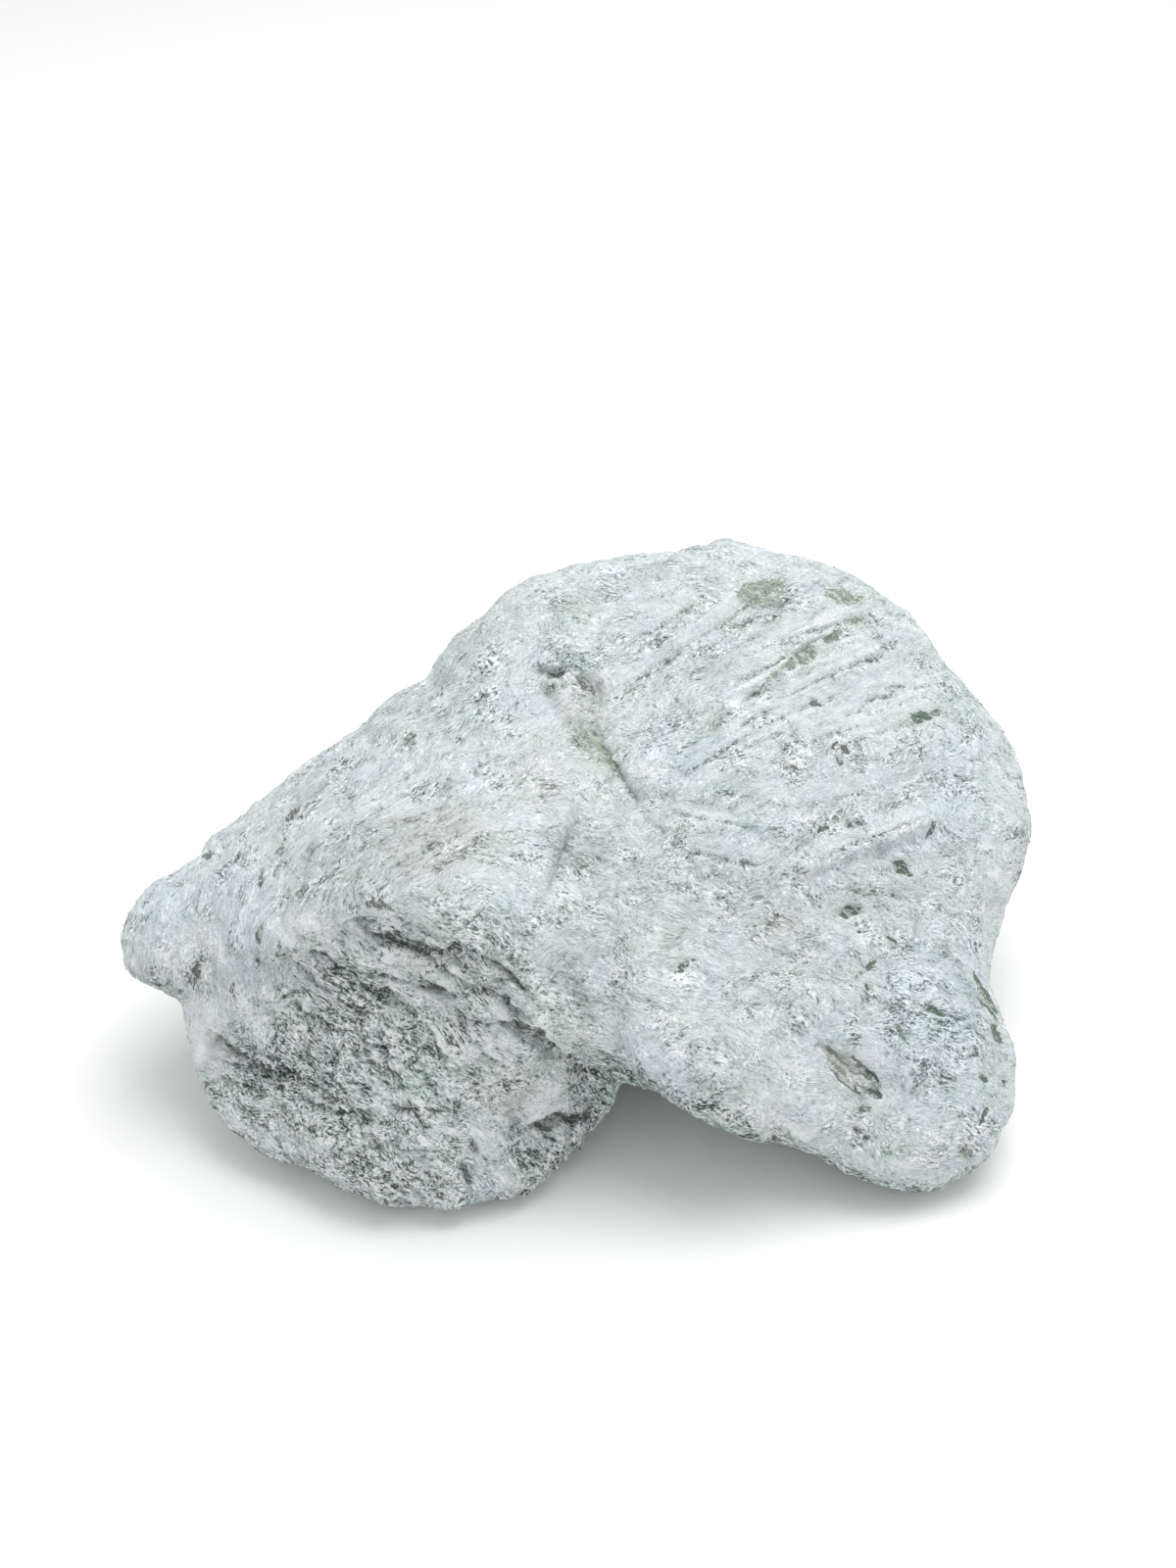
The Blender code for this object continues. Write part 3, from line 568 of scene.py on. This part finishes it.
def relief(points, zones):
    """How far the skin is pressed in, in millimetres, and the masks that its colours follow, painted shade
    and painted highlight at the ledges among them.
    """
    flat, facing, broken = (zones[name] for name in ("flat", "facing", "broken"))
    calm = 1 - 0.6 * broken
    depth = calm * 0.65 * layered(points, 11, 61, 3) + 0.30 * layered(points, 3.4, 62, 2)
    depth += 1.3 * calm * np.maximum(layered(points, 7.5, 63, 2) - 0.35, 0)
    depth += 0.22 * zones["fan"] * streaks(points, FAN_GRAIN, 2.6, 9, 64)
    depth += 0.22 * zones["flank"] * streaks(points, FLANK_GRAIN, 2.6, 9, 65)
    depth += 0.20 * broken * layered(points, 2.0, 66, 1)
    strokes, stroke_grooves, smear, stroked, stroke_place = fan_of_strokes(points, zones)
    leaves, lips = leafy_break(points, zones)
    depth += strokes + leaves
    wander = drift(points, 6, 71)[:, :2] * 1.1 + drift(points, 2.6, 74)[:, :2] * 0.7
    ridge, chip, tint = np.zeros((3, len(points)))
    for line, drop, run in LEDGES:
        below = below_line(flat + wander, line)
        depth += between(drop * facing, -0.2, 0.9, 1.0, run, below)
        # A band of painted shade just under the ledge's lip.
        lips = np.maximum(lips, between(1.25 * facing, -0.2, 0.5, 0.8, 2.2, below))
        # A band of painted highlight on the ledge's top, just above its lip.
        ridge = np.maximum(ridge, between(facing, -2.6, -1.2, -0.9, -0.1, below))
    for start, end, half_width, pressed in GROOVES:
        _, _, distance = from_segment(flat + wander, start, end)
        depth += pressed * facing * np.exp(-(distance / half_width) ** 2)
    for number, (start, end, half_width, height) in enumerate(BARS):
        share, over, _ = from_segment(flat + 0.35 * wander, start, end)
        ratio = over / half_width + 0.2 * lumps(points, 7, 77)
        ends = between(facing, -0.05, 0.12, 0.8, 1.08, share)
        bar = ends * (1 - smoothstep(0.85, 1.1, np.abs(ratio)))
        beside = between(ends, -1.7, -1.25, -1.1, -0.85, ratio) * min(1, height / 0.35)
        depth += 0.6 * beside - 1.2 * height * bar * (0.7 + 0.3 * np.clip(ratio, -1, 1))
        smear = np.maximum(smear * (1 - beside), bar)
        stroked = np.maximum(stroked, bar)
        stroke_grooves = np.maximum(stroke_grooves, 0.8 * beside)
        along = share * math.dist(start, end) * FIBRE
        own_place = np.stack([along, over, np.full(len(points), 9.0 * number)], axis=1)
        stroke_place = np.where((bar > 0.3)[:, None], own_place, stroke_place)
    for share, grain, seed in ((zones["flank"], FLANK_GRAIN, 81), (1 - zones["fan"], SLOPE_GRAIN, 83)):
        band = smoothstep(0.12, 0.45, streaks(points, grain, 5.5, 7, seed))
        smear = np.maximum(smear, 0.8 * band * share * (1 - broken))
    for *oval, height in FILLS:
        depth -= height * facing * (1 - smoothstep(0.3, 1.1, in_oval(flat, *oval)))
    for *oval, pressed, colour, clear in CHIPS:
        away = in_oval(flat + wander * min(1.0, oval[3] / 1.5), *oval)
        inside = (1 - smoothstep(0.6, 1.3, away)) * facing
        depth += pressed * inside
        tint = np.where(inside * clear > chip, colour, tint)
        chip = np.maximum(chip, inside * clear)
    for oval in INCLUSIONS:
        chip *= smoothstep(0.9, 1.25, in_oval(flat + 0.3 * wander, *oval))
    masks = {"chip": chip, "tint": tint, "lip": lips, "stroke_groove": stroke_grooves,
             "smear": smear * (1 - chip), "stroked": stroked, "ridge": ridge}
    for name, spots in PATCHES.items():
        masks[name] = patches(flat + 2 * wander, spots) * facing
    rough = 0.1 + layered(points, 9, 101, 3) + 0.45 * masks["sparkly"] + 0.35 * stroke_grooves
    masks["cluster"] = smoothstep(0.12, 0.45, rough - 0.45 * smear + 0.2 * broken)
    return depth, masks, stroke_place


def worked_stone(node):
    """The stone's skin with everything that time and tools left on it, and the masks for its colours, painted
    shade and painted highlight among them.
    """
    stone = fine_skin(node)
    mesh = stone.data
    points = points_of(mesh)
    normals = read(mesh.vertex_normals, "vector", 3).astype(float)
    zones = shape_zones(points, normals)
    flat, facing, broken = (zones[name] for name in ("flat", "facing", "broken"))
    depth, masks, stroke_place = relief(points, zones)
    depth -= SKIN_SWELL
    depth = np.where(points[:, 2] < 1.0, np.maximum(depth, 0.0), depth)
    edges = edges_of(mesh)
    carved = points - normals * depth[:, None]
    carved[:, 2] = np.maximum(carved[:, 2], 0)
    set_points(mesh, carved)
    wide = smoothed(carved, edges, HOLLOW_PASSES)
    # Hollows are painted darker as shade; high points are lighter as rubbed wear.
    hollow = np.sum((wide - carved) * normals, axis=1)
    masks["recess"] = smoothstep(0.05, 1.0, hollow)
    masks["rub"] = smoothstep(0.05, 0.8, -hollow)
    # The dark patches, which are partly painted shade, turn the skin here to darker bare stone.
    bare = 0.62 + 0.5 * masks["dark"] - 0.5 * masks["pale"] + 0.7 * layered(points, 16, 91, 3)
    over_crest = patches(flat + 3 * drift(points, 7, 97)[:, :2], BARE_PATCHES) * facing
    over_crest *= np.clip(0.4 + bare, 0.2, 1)
    masks["bare"] = np.maximum(broken * np.clip(bare, 0.1, 1), over_crest)
    # The band along the lower right edge and the faces turned down are bare stone with less chalk, and are
    # also painted darker as shade.
    edge_band = smoothstep(-0.6, 0.8, below_line(flat + 0.5 * drift(points, 5, 103)[:, :2], UNDERSIDE))
    edge_band *= smoothstep(4, 8, flat[:, 0]) * (1 - smoothstep(88, 100, flat[:, 0])) * facing
    under = np.maximum(smoothstep(0.1, -0.4, normals[:, 2]) * (1 - broken), edge_band)
    masks["under"] = under
    masks["bare"] = np.maximum(masks["bare"], under)
    off_floor = smoothstep(2.5, 6.0, points[:, 2])
    leafy = smoothstep(0.55, 1.05, bare + 0.4 * layered(points, 9, 93, 2))
    masks["leafy"] = smoothstep(6, 22, points[:, 2]) * smoothstep(0.7, 1.0, broken) * leafy
    masks["leafy"] *= 0.3 + 0.7 * facing
    clean = np.maximum(masks["smear"], masks["chip"])
    masks["crumbly"] = off_floor * (1 - 0.8 * clean) * (0.2 + 0.8 * masks["cluster"])
    for name in ("broken", "fan", "flank", "shoulder"):
        masks[name] = zones[name]
    layer = mesh.attributes.new("stroke_place", "FLOAT_VECTOR", "POINT")
    layer.data.foreach_set("vector", (stroke_place * MM).astype(np.float32).ravel())
    for name, values in masks.items():
        layer = mesh.attributes.new(name, "FLOAT", "POINT")
        layer.data.foreach_set("value", values.astype(np.float32))
    fewer = stone.modifiers.new("fewer", "DECIMATE")
    fewer.ratio = min(1.0, SKIN_TRIANGLES / (2 * len(mesh.polygons)))
    bake_modifiers(stone)
    stone.data.shade_smooth()
    return stone


class Nodes:
    """Adds nodes to a tree and links them, left to right."""

    def __init__(self, tree):
        self.tree = tree
        self.column = -1600

    def add(self, kind, settings=None, *values, **inputs):
        """A node with these settings, its first inputs fed in order and the rest by name."""
        node = self.tree.nodes.new(kind)
        node.location = (self.column, -300 * (len(self.tree.nodes) % 5))
        self.column += 60
        for name, value in (settings or {}).items():
            setattr(node, name, value)
        for index, value in enumerate(values):
            self.feed(node, index, value)
        for name, value in inputs.items():
            self.feed(node, name.replace("_", " "), value)
        return node

    def feed(self, node, socket, value):
        if isinstance(value, bpy.types.NodeSocket):
            self.tree.links.new(value, node.inputs[socket])
        else:
            node.inputs[socket].default_value = value

    def noise(self, place, scale, detail=3.0, roughness=0.55, distortion=0.0):
        node = self.add("ShaderNodeTexNoise", Vector=place, Scale=scale, Detail=detail, Roughness=roughness,
                        Distortion=distortion)
        return node.outputs["Fac"]

    def ramp(self, value, low, high, to_low=0.0, to_high=1.0, shape="SMOOTHSTEP"):
        node = self.add("ShaderNodeMapRange", {"interpolation_type": shape}, Value=value, From_Min=low,
                        From_Max=high, To_Min=to_low, To_Max=to_high)
        return node.outputs["Result"]

    def math(self, operation, *values):
        return self.add("ShaderNodeMath", {"operation": operation}, *values).outputs[0]

    def vector(self, operation, *values, **inputs):
        return self.add("ShaderNodeVectorMath", {"operation": operation}, *values, **inputs).outputs[0]

    def times(self, first, second):
        return self.math("MULTIPLY", first, second)

    def centred(self, value):
        """A value about 0.5, moved to be about 0."""
        return self.math("SUBTRACT", value, 0.5)

    def total(self, start, parts):
        """The start plus each value times its weight."""
        for value, weight in parts:
            start = self.math("MULTIPLY_ADD", value, weight, start)
        return start

    def mix(self, share, first, second, blend="MIX"):
        node = self.add("ShaderNodeMix", {"data_type": "RGBA", "blend_type": blend})
        for index, value in ((0, share), (6, first), (7, second)):
            self.feed(node, index, value)
        return node.outputs[2]

    def either(self, share, first, second):
        """One place or the other, with no blend between them."""
        node = self.add("ShaderNodeMix", {"data_type": "VECTOR"})
        for index, value in ((0, self.math("GREATER_THAN", share, 0.5)), (4, first), (5, second)):
            self.feed(node, index, value)
        return node.outputs[1]

    def shades(self, value, stops):
        """A colour for each value, blended between these stops."""
        node = self.add("ShaderNodeValToRGB", Fac=value)
        ramp = node.color_ramp
        while len(ramp.elements) < len(stops):
            ramp.elements.new(0.5)
        for element, (position, colour) in zip(ramp.elements, stops):
            element.position = position
            element.color = (*colour, 1)
        return node.outputs["Color"]

    def swirled(self, place, scale, reach):
        """The place, pushed about by smooth noise so that a pattern on it bends."""
        wander = self.add("ShaderNodeTexNoise", Vector=place, Scale=scale, Detail=2.0).outputs["Color"]
        return self.vector("MULTIPLY_ADD", wander, (reach, reach, reach), place)

    def lines(self, place, scale, thin, detail=2.0, distortion=1.0):
        """Thin lines that wander like the contours of a noise."""
        fine = self.noise(place, scale, detail, 0.5, distortion)
        return self.ramp(self.math("ABSOLUTE", self.centred(fine)), thin, thin / 2)

    def drawn_out(self, place, grain, stretch):
        """The place, squeezed along the grain so that a pattern on it is drawn out that way."""
        turn = Vector(along_surface(*grain)).to_track_quat("X", "Z").to_euler()
        node = self.add("ShaderNodeMapping", {"vector_type": "TEXTURE"}, Vector=place)
        node.inputs["Rotation"].default_value = turn
        node.inputs["Scale"].default_value = (stretch, 1, 1)
        return node.outputs[0]


def new_tree(name, kind, inputs, outputs):
    """A node group with these sockets, its Nodes, and what is given to it."""
    tree = bpy.data.node_groups.new(name, kind)
    for side, sockets in (("INPUT", inputs), ("OUTPUT", outputs)):
        for socket, held in sockets.items():
            tree.interface.new_socket(socket, in_out=side, socket_type="NodeSocket" + held)
    nodes = Nodes(tree)
    return tree, nodes, nodes.add("NodeGroupInput").outputs


def new_material(name):
    """A material, its Nodes, its shader, and the place on the object."""
    material = bpy.data.materials.new(name)
    material.use_nodes = True
    nodes = Nodes(material.node_tree)
    shader = material.node_tree.nodes["Principled BSDF"]
    return material, nodes, shader, nodes.add("ShaderNodeTexCoord").outputs["Object"]


def speckle_group():
    """Fine dark squiggles and hairs, bright flecks, mottling and grain, as masks."""
    tree, nodes, given = new_tree(
        "speckle", "ShaderNodeTree", {"Place": "Vector", "Squiggles": "Float"},
        dict.fromkeys(("Squiggle", "Hair", "Fleck", "Pit", "Mottle", "Grain"), "Float"))
    out = nodes.add("NodeGroupOutput")
    place = given["Place"]
    patch = nodes.noise(place, 150, 3, 0.65)
    reach = nodes.math("MULTIPLY_ADD", given["Squiggles"], -0.32, 0.74)
    there = nodes.ramp(nodes.math("SUBTRACT", patch, reach), 0.0, 0.05)
    for name, scale, thin, shown in (("Squiggle", 330, 0.034, there), ("Hair", 700, 0.026, 1.0)):
        line = nodes.lines(place, scale, thin)
        dash = nodes.ramp(nodes.noise(place, scale * 1.3, 1), 0.44, 0.5)
        nodes.feed(out, name, nodes.times(nodes.times(line, dash), shown))
    nodes.feed(out, "Fleck", nodes.ramp(nodes.noise(place, 1000, 2, 0.5), 0.60, 0.64))
    nodes.feed(out, "Pit", nodes.ramp(nodes.noise(place, 1150, 2, 0.5), 0.40, 0.36))
    nodes.feed(out, "Mottle", nodes.noise(place, 300, 4, 0.7))
    nodes.feed(out, "Grain", nodes.noise(place, 1500, 2, 0.7))
    return tree


def soapstone_material(name, speckle, tone_at_rest, sheen):
    """Chalky skin, bare grey-green stone on the breaks, and chips of clean olive and green stone."""
    material, nodes, shader, place = new_material(name)

    def mask(name):
        return nodes.add("ShaderNodeAttribute", {"attribute_name": name}).outputs["Fac"]

    def masks(**weights):
        return [(mask(name), weight) for name, weight in weights.items()]

    bared = mask("bare")
    ragged = nodes.centred(nodes.noise(place, 190, 3, 0.65))
    swirled = nodes.swirled(place, 48, 0.013)
    grained = nodes.drawn_out(swirled, SLOPE_GRAIN, 2.0)
    for zone, grain, stretch in (("shoulder", SHOULDER_GRAIN, 2.4), ("fan", FAN_GRAIN, 1.8),
                                 ("flank", FLANK_GRAIN, 2.6), ("broken", BREAK_GRAIN, 2.2)):
        here = nodes.math("ADD", mask(zone), ragged)
        grained = nodes.either(here, grained, nodes.drawn_out(swirled, grain, stretch))
    squiggles = nodes.total(0.0, masks(cluster=0.75, broken=0.2, sparkly=0.3, green=0.4, dark=0.4, pale=-0.3,
                                       stroke_groove=0.3, smear=-0.6))
    marks = nodes.add("ShaderNodeGroup", {"node_tree": speckle}, Place=grained, Squiggles=squiggles).outputs
    mottle = marks["Mottle"]
    grit = nodes.centred(marks["Grain"])
    grains = nodes.total(0.0, [(nodes.centred(mottle), 1.3), (grit, 1.3), (marks["Fleck"], 0.32),
                               (marks["Pit"], -0.24), (marks["Hair"], -0.22)])
    rough = nodes.total(0.74, masks(cluster=0.75, stroke_groove=0.3, bare=0.45, sparkly=0.25, smear=-0.3))
    # Stronger fine grain on bare stone and in the sparkly patches, partly painted glints.
    crisp = nodes.times(nodes.total(0.0, masks(bare=0.8, sparkly=0.7)), grit)
    laminae = nodes.noise(nodes.drawn_out(nodes.swirled(place, 60, 0.012), BREAK_GRAIN, 5), 560, 3, 0.6)
    laminae = nodes.times(nodes.centred(laminae), bared)
    fibres = nodes.add("ShaderNodeAttribute", {"attribute_name": "stroke_place"}).outputs["Vector"]
    fibres = nodes.times(nodes.centred(nodes.noise(fibres, 900, 3, 0.6)), mask("stroked"))
    scratch = nodes.lines(nodes.drawn_out(place, SCRATCH_GRAIN, 30), 170, 0.012, 1.0, 0.0)
    scratch = nodes.times(scratch, nodes.ramp(nodes.noise(place, 70, 2), 0.5, 0.58))
    cracked = nodes.ramp(nodes.noise(place, 60, 2), 0.48, 0.54)
    crack = nodes.times(nodes.lines(swirled, 105, 0.016, 3.0), cracked)
    crack = nodes.times(crack, nodes.math("MULTIPLY_ADD", bared, 0.8, 0.2))
    cloud = nodes.centred(nodes.noise(place, 52, 4, 0.6))
    tone = nodes.total(nodes.math("MULTIPLY_ADD", grains, rough, tone_at_rest), [
        (cloud, 0.36), (marks["Squiggle"], -0.6), (crisp, 1.0), (laminae, 1.45), (fibres, 0.5),
        (scratch, -0.12), (crack, -0.35)])
    # Painted shade in recesses, under lips and on the underside, and a painted highlight on ledge tops, join
    # the tone here with the stone's own marks.
    tone = nodes.total(tone, masks(
        recess=-0.18, rub=0.12, lip=-0.30, bare=0.03, dark=-0.05, green=-0.07, pale=0.15, dull=-0.17,
        stroke_groove=-0.11, smear=0.04, ridge=0.10, under=-0.22, cool=-0.04, own_tone=1.0))
    colour = nodes.mix(bared, nodes.shades(tone, CHALK_SHADES), nodes.shades(tone, BARE_SHADES))
    haze = nodes.noise(place, 75, 3, 0.6)
    for patch, start, full, stain in STAINS:
        share = nodes.total(0.0, [(mask(patch), 0.75), (nodes.ramp(haze, start, full), 0.4)])
        colour = nodes.mix(share, colour, stain, "MULTIPLY")
    clean = nodes.mix(nodes.ramp(mask("tint"), 0.35, 0.85), CLEAN_OLIVE, CLEAN_GREEN)
    clean = nodes.mix(nodes.ramp(mask("tint"), 0.3, 0.1), clean, CLEAN_GREY)
    streak = nodes.noise(nodes.drawn_out(place, LENS_GRAIN, 4), 560, 2, 0.6)
    bright = nodes.ramp(nodes.math("MULTIPLY_ADD", mask("pale"), 0.06, streak), 0.53, 0.60)
    bright = nodes.math("MAXIMUM", bright, marks["Fleck"])
    clean = nodes.mix(nodes.times(bright, 0.75), clean, CLEAN_BRIGHT)
    dim = nodes.times(nodes.ramp(streak, 0.48, 0.43), mask("pale"))
    for mark in ("Hair", "Pit"):
        dim = nodes.math("MAXIMUM", dim, marks[mark])
    clean = nodes.mix(nodes.times(dim, 0.6), clean, CLEAN_DIM)
    fringe = nodes.centred(nodes.noise(grained, 520, 3, 0.7))
    edge = nodes.total(mask("chip"), [(ragged, 1.1), (fringe, 1.7)])
    colour = nodes.mix(nodes.ramp(edge, 0.45, 0.65, 0.0, 0.9), colour, clean)
    nodes.feed(shader, "Base Color", colour)
    nodes.feed(shader, "Roughness", nodes.ramp(mottle, 0.3, 0.7, 0.78 - sheen, 0.5 - sheen, "LINEAR"))
    height = nodes.total(0.0, [(mottle, 1.5), (marks["Grain"], 0.8), (laminae, 2.0), (crack, -0.6)])
    bump = nodes.add("ShaderNodeBump", Strength=0.9, Distance=0.0008, Height=height)
    nodes.feed(shader, "Normal", bump.outputs["Normal"])
    shader.inputs["Specular IOR Level"].default_value = 0.35
    return material


def scatter_tree(name, cover, seed, body_settings, bend_scale):
    """Scatters small closed bodies over a surface, as dense as an attribute says, and bends each a little.

    Its inputs are the number per square metre, the smallest and largest half sizes, the tilt off the surface
    and the turn off the grain in radians, the lean to the layers, the bend, and how much their tones differ.
    """
    tree, nodes, given = new_tree(name, "GeometryNodeTree", {
        "Geometry": "Geometry", "Number": "Float", "Smallest": "Vector", "Largest": "Vector", "Tilt": "Float",
        "Turn": "Float", "Lean": "Float", "Bend": "Float", "Tone": "Float", "Finish": "Material",
    }, {"Geometry": "Geometry"})
    tree.is_modifier = True
    dense = nodes.add("GeometryNodeInputNamedAttribute", Name=cover).outputs["Attribute"]
    spread = nodes.add("GeometryNodeDistributePointsOnFaces", Mesh=given["Geometry"], Seed=seed,
                       Density=nodes.times(dense, given["Number"])).outputs
    kind, settings = body_settings
    body = nodes.add(kind, **settings).outputs["Mesh"]

    def random(kind, low, high, extra):
        first, output = {"FLOAT_VECTOR": (0, 0), "FLOAT": (2, 1)}[kind]
        node = nodes.add("FunctionNodeRandomValue", {"data_type": kind}, Seed=seed + extra)
        nodes.feed(node, first, low)
        nodes.feed(node, first + 1, high)
        return node.outputs[output]

    layers = nodes.vector("SCALE", tuple(ACROSS_LAYERS), Scale=given["Lean"])
    facing = nodes.vector("ADD", spread["Normal"], layers)
    laid = nodes.add("FunctionNodeAlignRotationToVector", {"axis": "Z"}, Vector=facing).outputs[0]
    grained = nodes.add("FunctionNodeAlignRotationToVector", {"axis": "X", "pivot_axis": "Z"}, Rotation=laid,
                        Vector=tuple(along_surface(*BREAK_GRAIN))).outputs[0]
    high = nodes.add("ShaderNodeCombineXYZ", None, given["Tilt"], given["Tilt"], given["Turn"]).outputs[0]
    angles = random("FLOAT_VECTOR", nodes.vector("SCALE", high, Scale=-1.0), high, 1)
    turn = nodes.add("FunctionNodeEulerToRotation", None, angles).outputs[0]
    turned = nodes.add("FunctionNodeRotateRotation", {"rotation_space": "LOCAL"}, grained, turn).outputs[0]
    sizes = random("FLOAT_VECTOR", given["Smallest"], given["Largest"], 2)
    placed = nodes.add("GeometryNodeInstanceOnPoints", Points=spread["Points"], Instance=body,
                       Rotation=turned, Scale=sizes).outputs[0]
    tones = random("FLOAT", nodes.times(given["Tone"], -1.0), given["Tone"], 3)
    toned = nodes.add("GeometryNodeStoreNamedAttribute", {"data_type": "FLOAT", "domain": "INSTANCE"},
                      Geometry=placed, Name="own_tone", Value=tones).outputs[0]
    real = nodes.add("GeometryNodeRealizeInstances", Geometry=toned).outputs[0]
    where = nodes.add("GeometryNodeInputPosition").outputs[0]
    bend = nodes.add("ShaderNodeTexNoise", Vector=where, Scale=bend_scale, Detail=1.0).outputs["Color"]
    offset = nodes.vector("SCALE", nodes.vector("SUBTRACT", bend, (0.5, 0.5, 0.5)), Scale=given["Bend"])
    bent = nodes.add("GeometryNodeSetPosition", Geometry=real, Offset=offset).outputs[0]
    done = nodes.add("GeometryNodeSetMaterial", Geometry=bent, Material=given["Finish"]).outputs[0]
    nodes.add("NodeGroupOutput", Geometry=done)
    return tree


def scattered(name, stone, tree, sizes):
    """A piece made of the small bodies that the tree scatters over the stone."""
    piece = new_object(name, stone.data.copy())
    spread = piece.modifiers.new(name, "NODES")
    spread.node_group = tree
    for socket in tree.interface.items_tree:
        if socket.in_out == "INPUT" and socket.name in sizes:
            spread[socket.identifier] = sizes[socket.name]
    bake_modifiers(piece)
    return piece


def talc_flakes(stone, material):
    """Thin leaves of talc that stand out of the broken faces."""
    plate = ("GeometryNodeMeshCylinder", {"Vertices": 6, "Radius": 1.0, "Depth": 2.0})
    tree = scatter_tree("talc flakes", "leafy", 4, plate, 160)
    return scattered("talc_flakes", stone, tree, {
        "Number": 420000.0, "Smallest": (0.6 * MM, 0.3 * MM, 0.09 * MM),
        "Largest": (2.8 * MM, 1.1 * MM, 0.17 * MM), "Tilt": 0.22, "Turn": 0.6, "Lean": 0.7,
        "Bend": 1.0 * MM, "Tone": 0.15, "Finish": material})


def chalk_crumbs(stone, material):
    """Crumbs and scales of chalky stone that cling to the skin."""
    grain = ("GeometryNodeMeshUVSphere", {"Segments": 5, "Rings": 3, "Radius": 1.0})
    tree = scatter_tree("chalk crumbs", "crumbly", 9, grain, 900)
    return scattered("chalk_crumbs", stone, tree, {
        "Number": 190000.0, "Smallest": (0.3 * MM, 0.2 * MM, 0.10 * MM),
        "Largest": (1.1 * MM, 0.65 * MM, 0.32 * MM), "Tilt": 0.3, "Turn": 3.1, "Lean": 0.0,
        "Bend": 0.9 * MM, "Tone": 0.24, "Finish": material})


def floor_piece():
    """A wide pale floor under the stone."""
    bpy.ops.mesh.primitive_plane_add(size=FLOOR_WIDTH)
    floor = bpy.context.object
    floor.name = "floor"
    material, nodes, shader, place = new_material("pale floor")
    tone = nodes.mix(nodes.noise(place, 3.0, 2), (0.93, 0.93, 0.93, 1), (0.95, 0.95, 0.95, 1))
    nodes.feed(shader, "Base Color", tone)
    shader.inputs["Roughness"].default_value = 0.9
    floor.data.materials.append(material)


def aim(obj, target):
    obj.rotation_euler = (Vector(target) - obj.location).to_track_quat("-Z", "Y").to_euler()


def camera():
    """The eye of the front view."""
    data = bpy.data.cameras.new("camera")
    eye = new_object("camera", data)
    eye.location = Vector(EYE) * MM
    aim(eye, Vector(SIGHT) * MM)
    data.sensor_width = 36.0
    data.lens = data.sensor_width * EYE_DISTANCE / VIEW_HEIGHT
    data.shift_y = VIEW_SHIFT
    data.clip_start = 0.01
    bpy.context.scene.camera = eye


def soft_light():
    """A pale sky all round, and one wide lamp high above the stone."""
    world = bpy.data.worlds.new("studio")
    bpy.context.scene.world = world
    world.use_nodes = True
    sky = world.node_tree.nodes["Background"]
    sky.inputs["Color"].default_value = (1.0, 1.0, 1.0, 1)
    sky.inputs["Strength"].default_value = SKY_STRENGTH
    data = bpy.data.lights.new("softbox", "AREA")
    data.size = LAMP_WIDTH
    data.energy = LAMP_WATTS
    lamp = new_object("softbox", data)
    lamp.location = LAMP_PLACE
    aim(lamp, (0, 0, 0.05))


camera()
soft_light()
floor_piece()
stone = worked_stone(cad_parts["soapstone"])
speckle = speckle_group()
stone.data.materials.clear()
flakes = talc_flakes(stone, soapstone_material("bare talc flakes", speckle, 0.66, 0.12))
crumbs = chalk_crumbs(stone, soapstone_material("chalk crumbs", speckle, 0.70, 0.0))
stone.data.materials.append(soapstone_material("chalky soapstone", speckle, 0.62, 0.0))
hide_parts("soapstone")
for piece in (stone, flakes, crumbs):
    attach(piece, "root")
bpy.context.scene.view_settings.view_transform = "Standard"
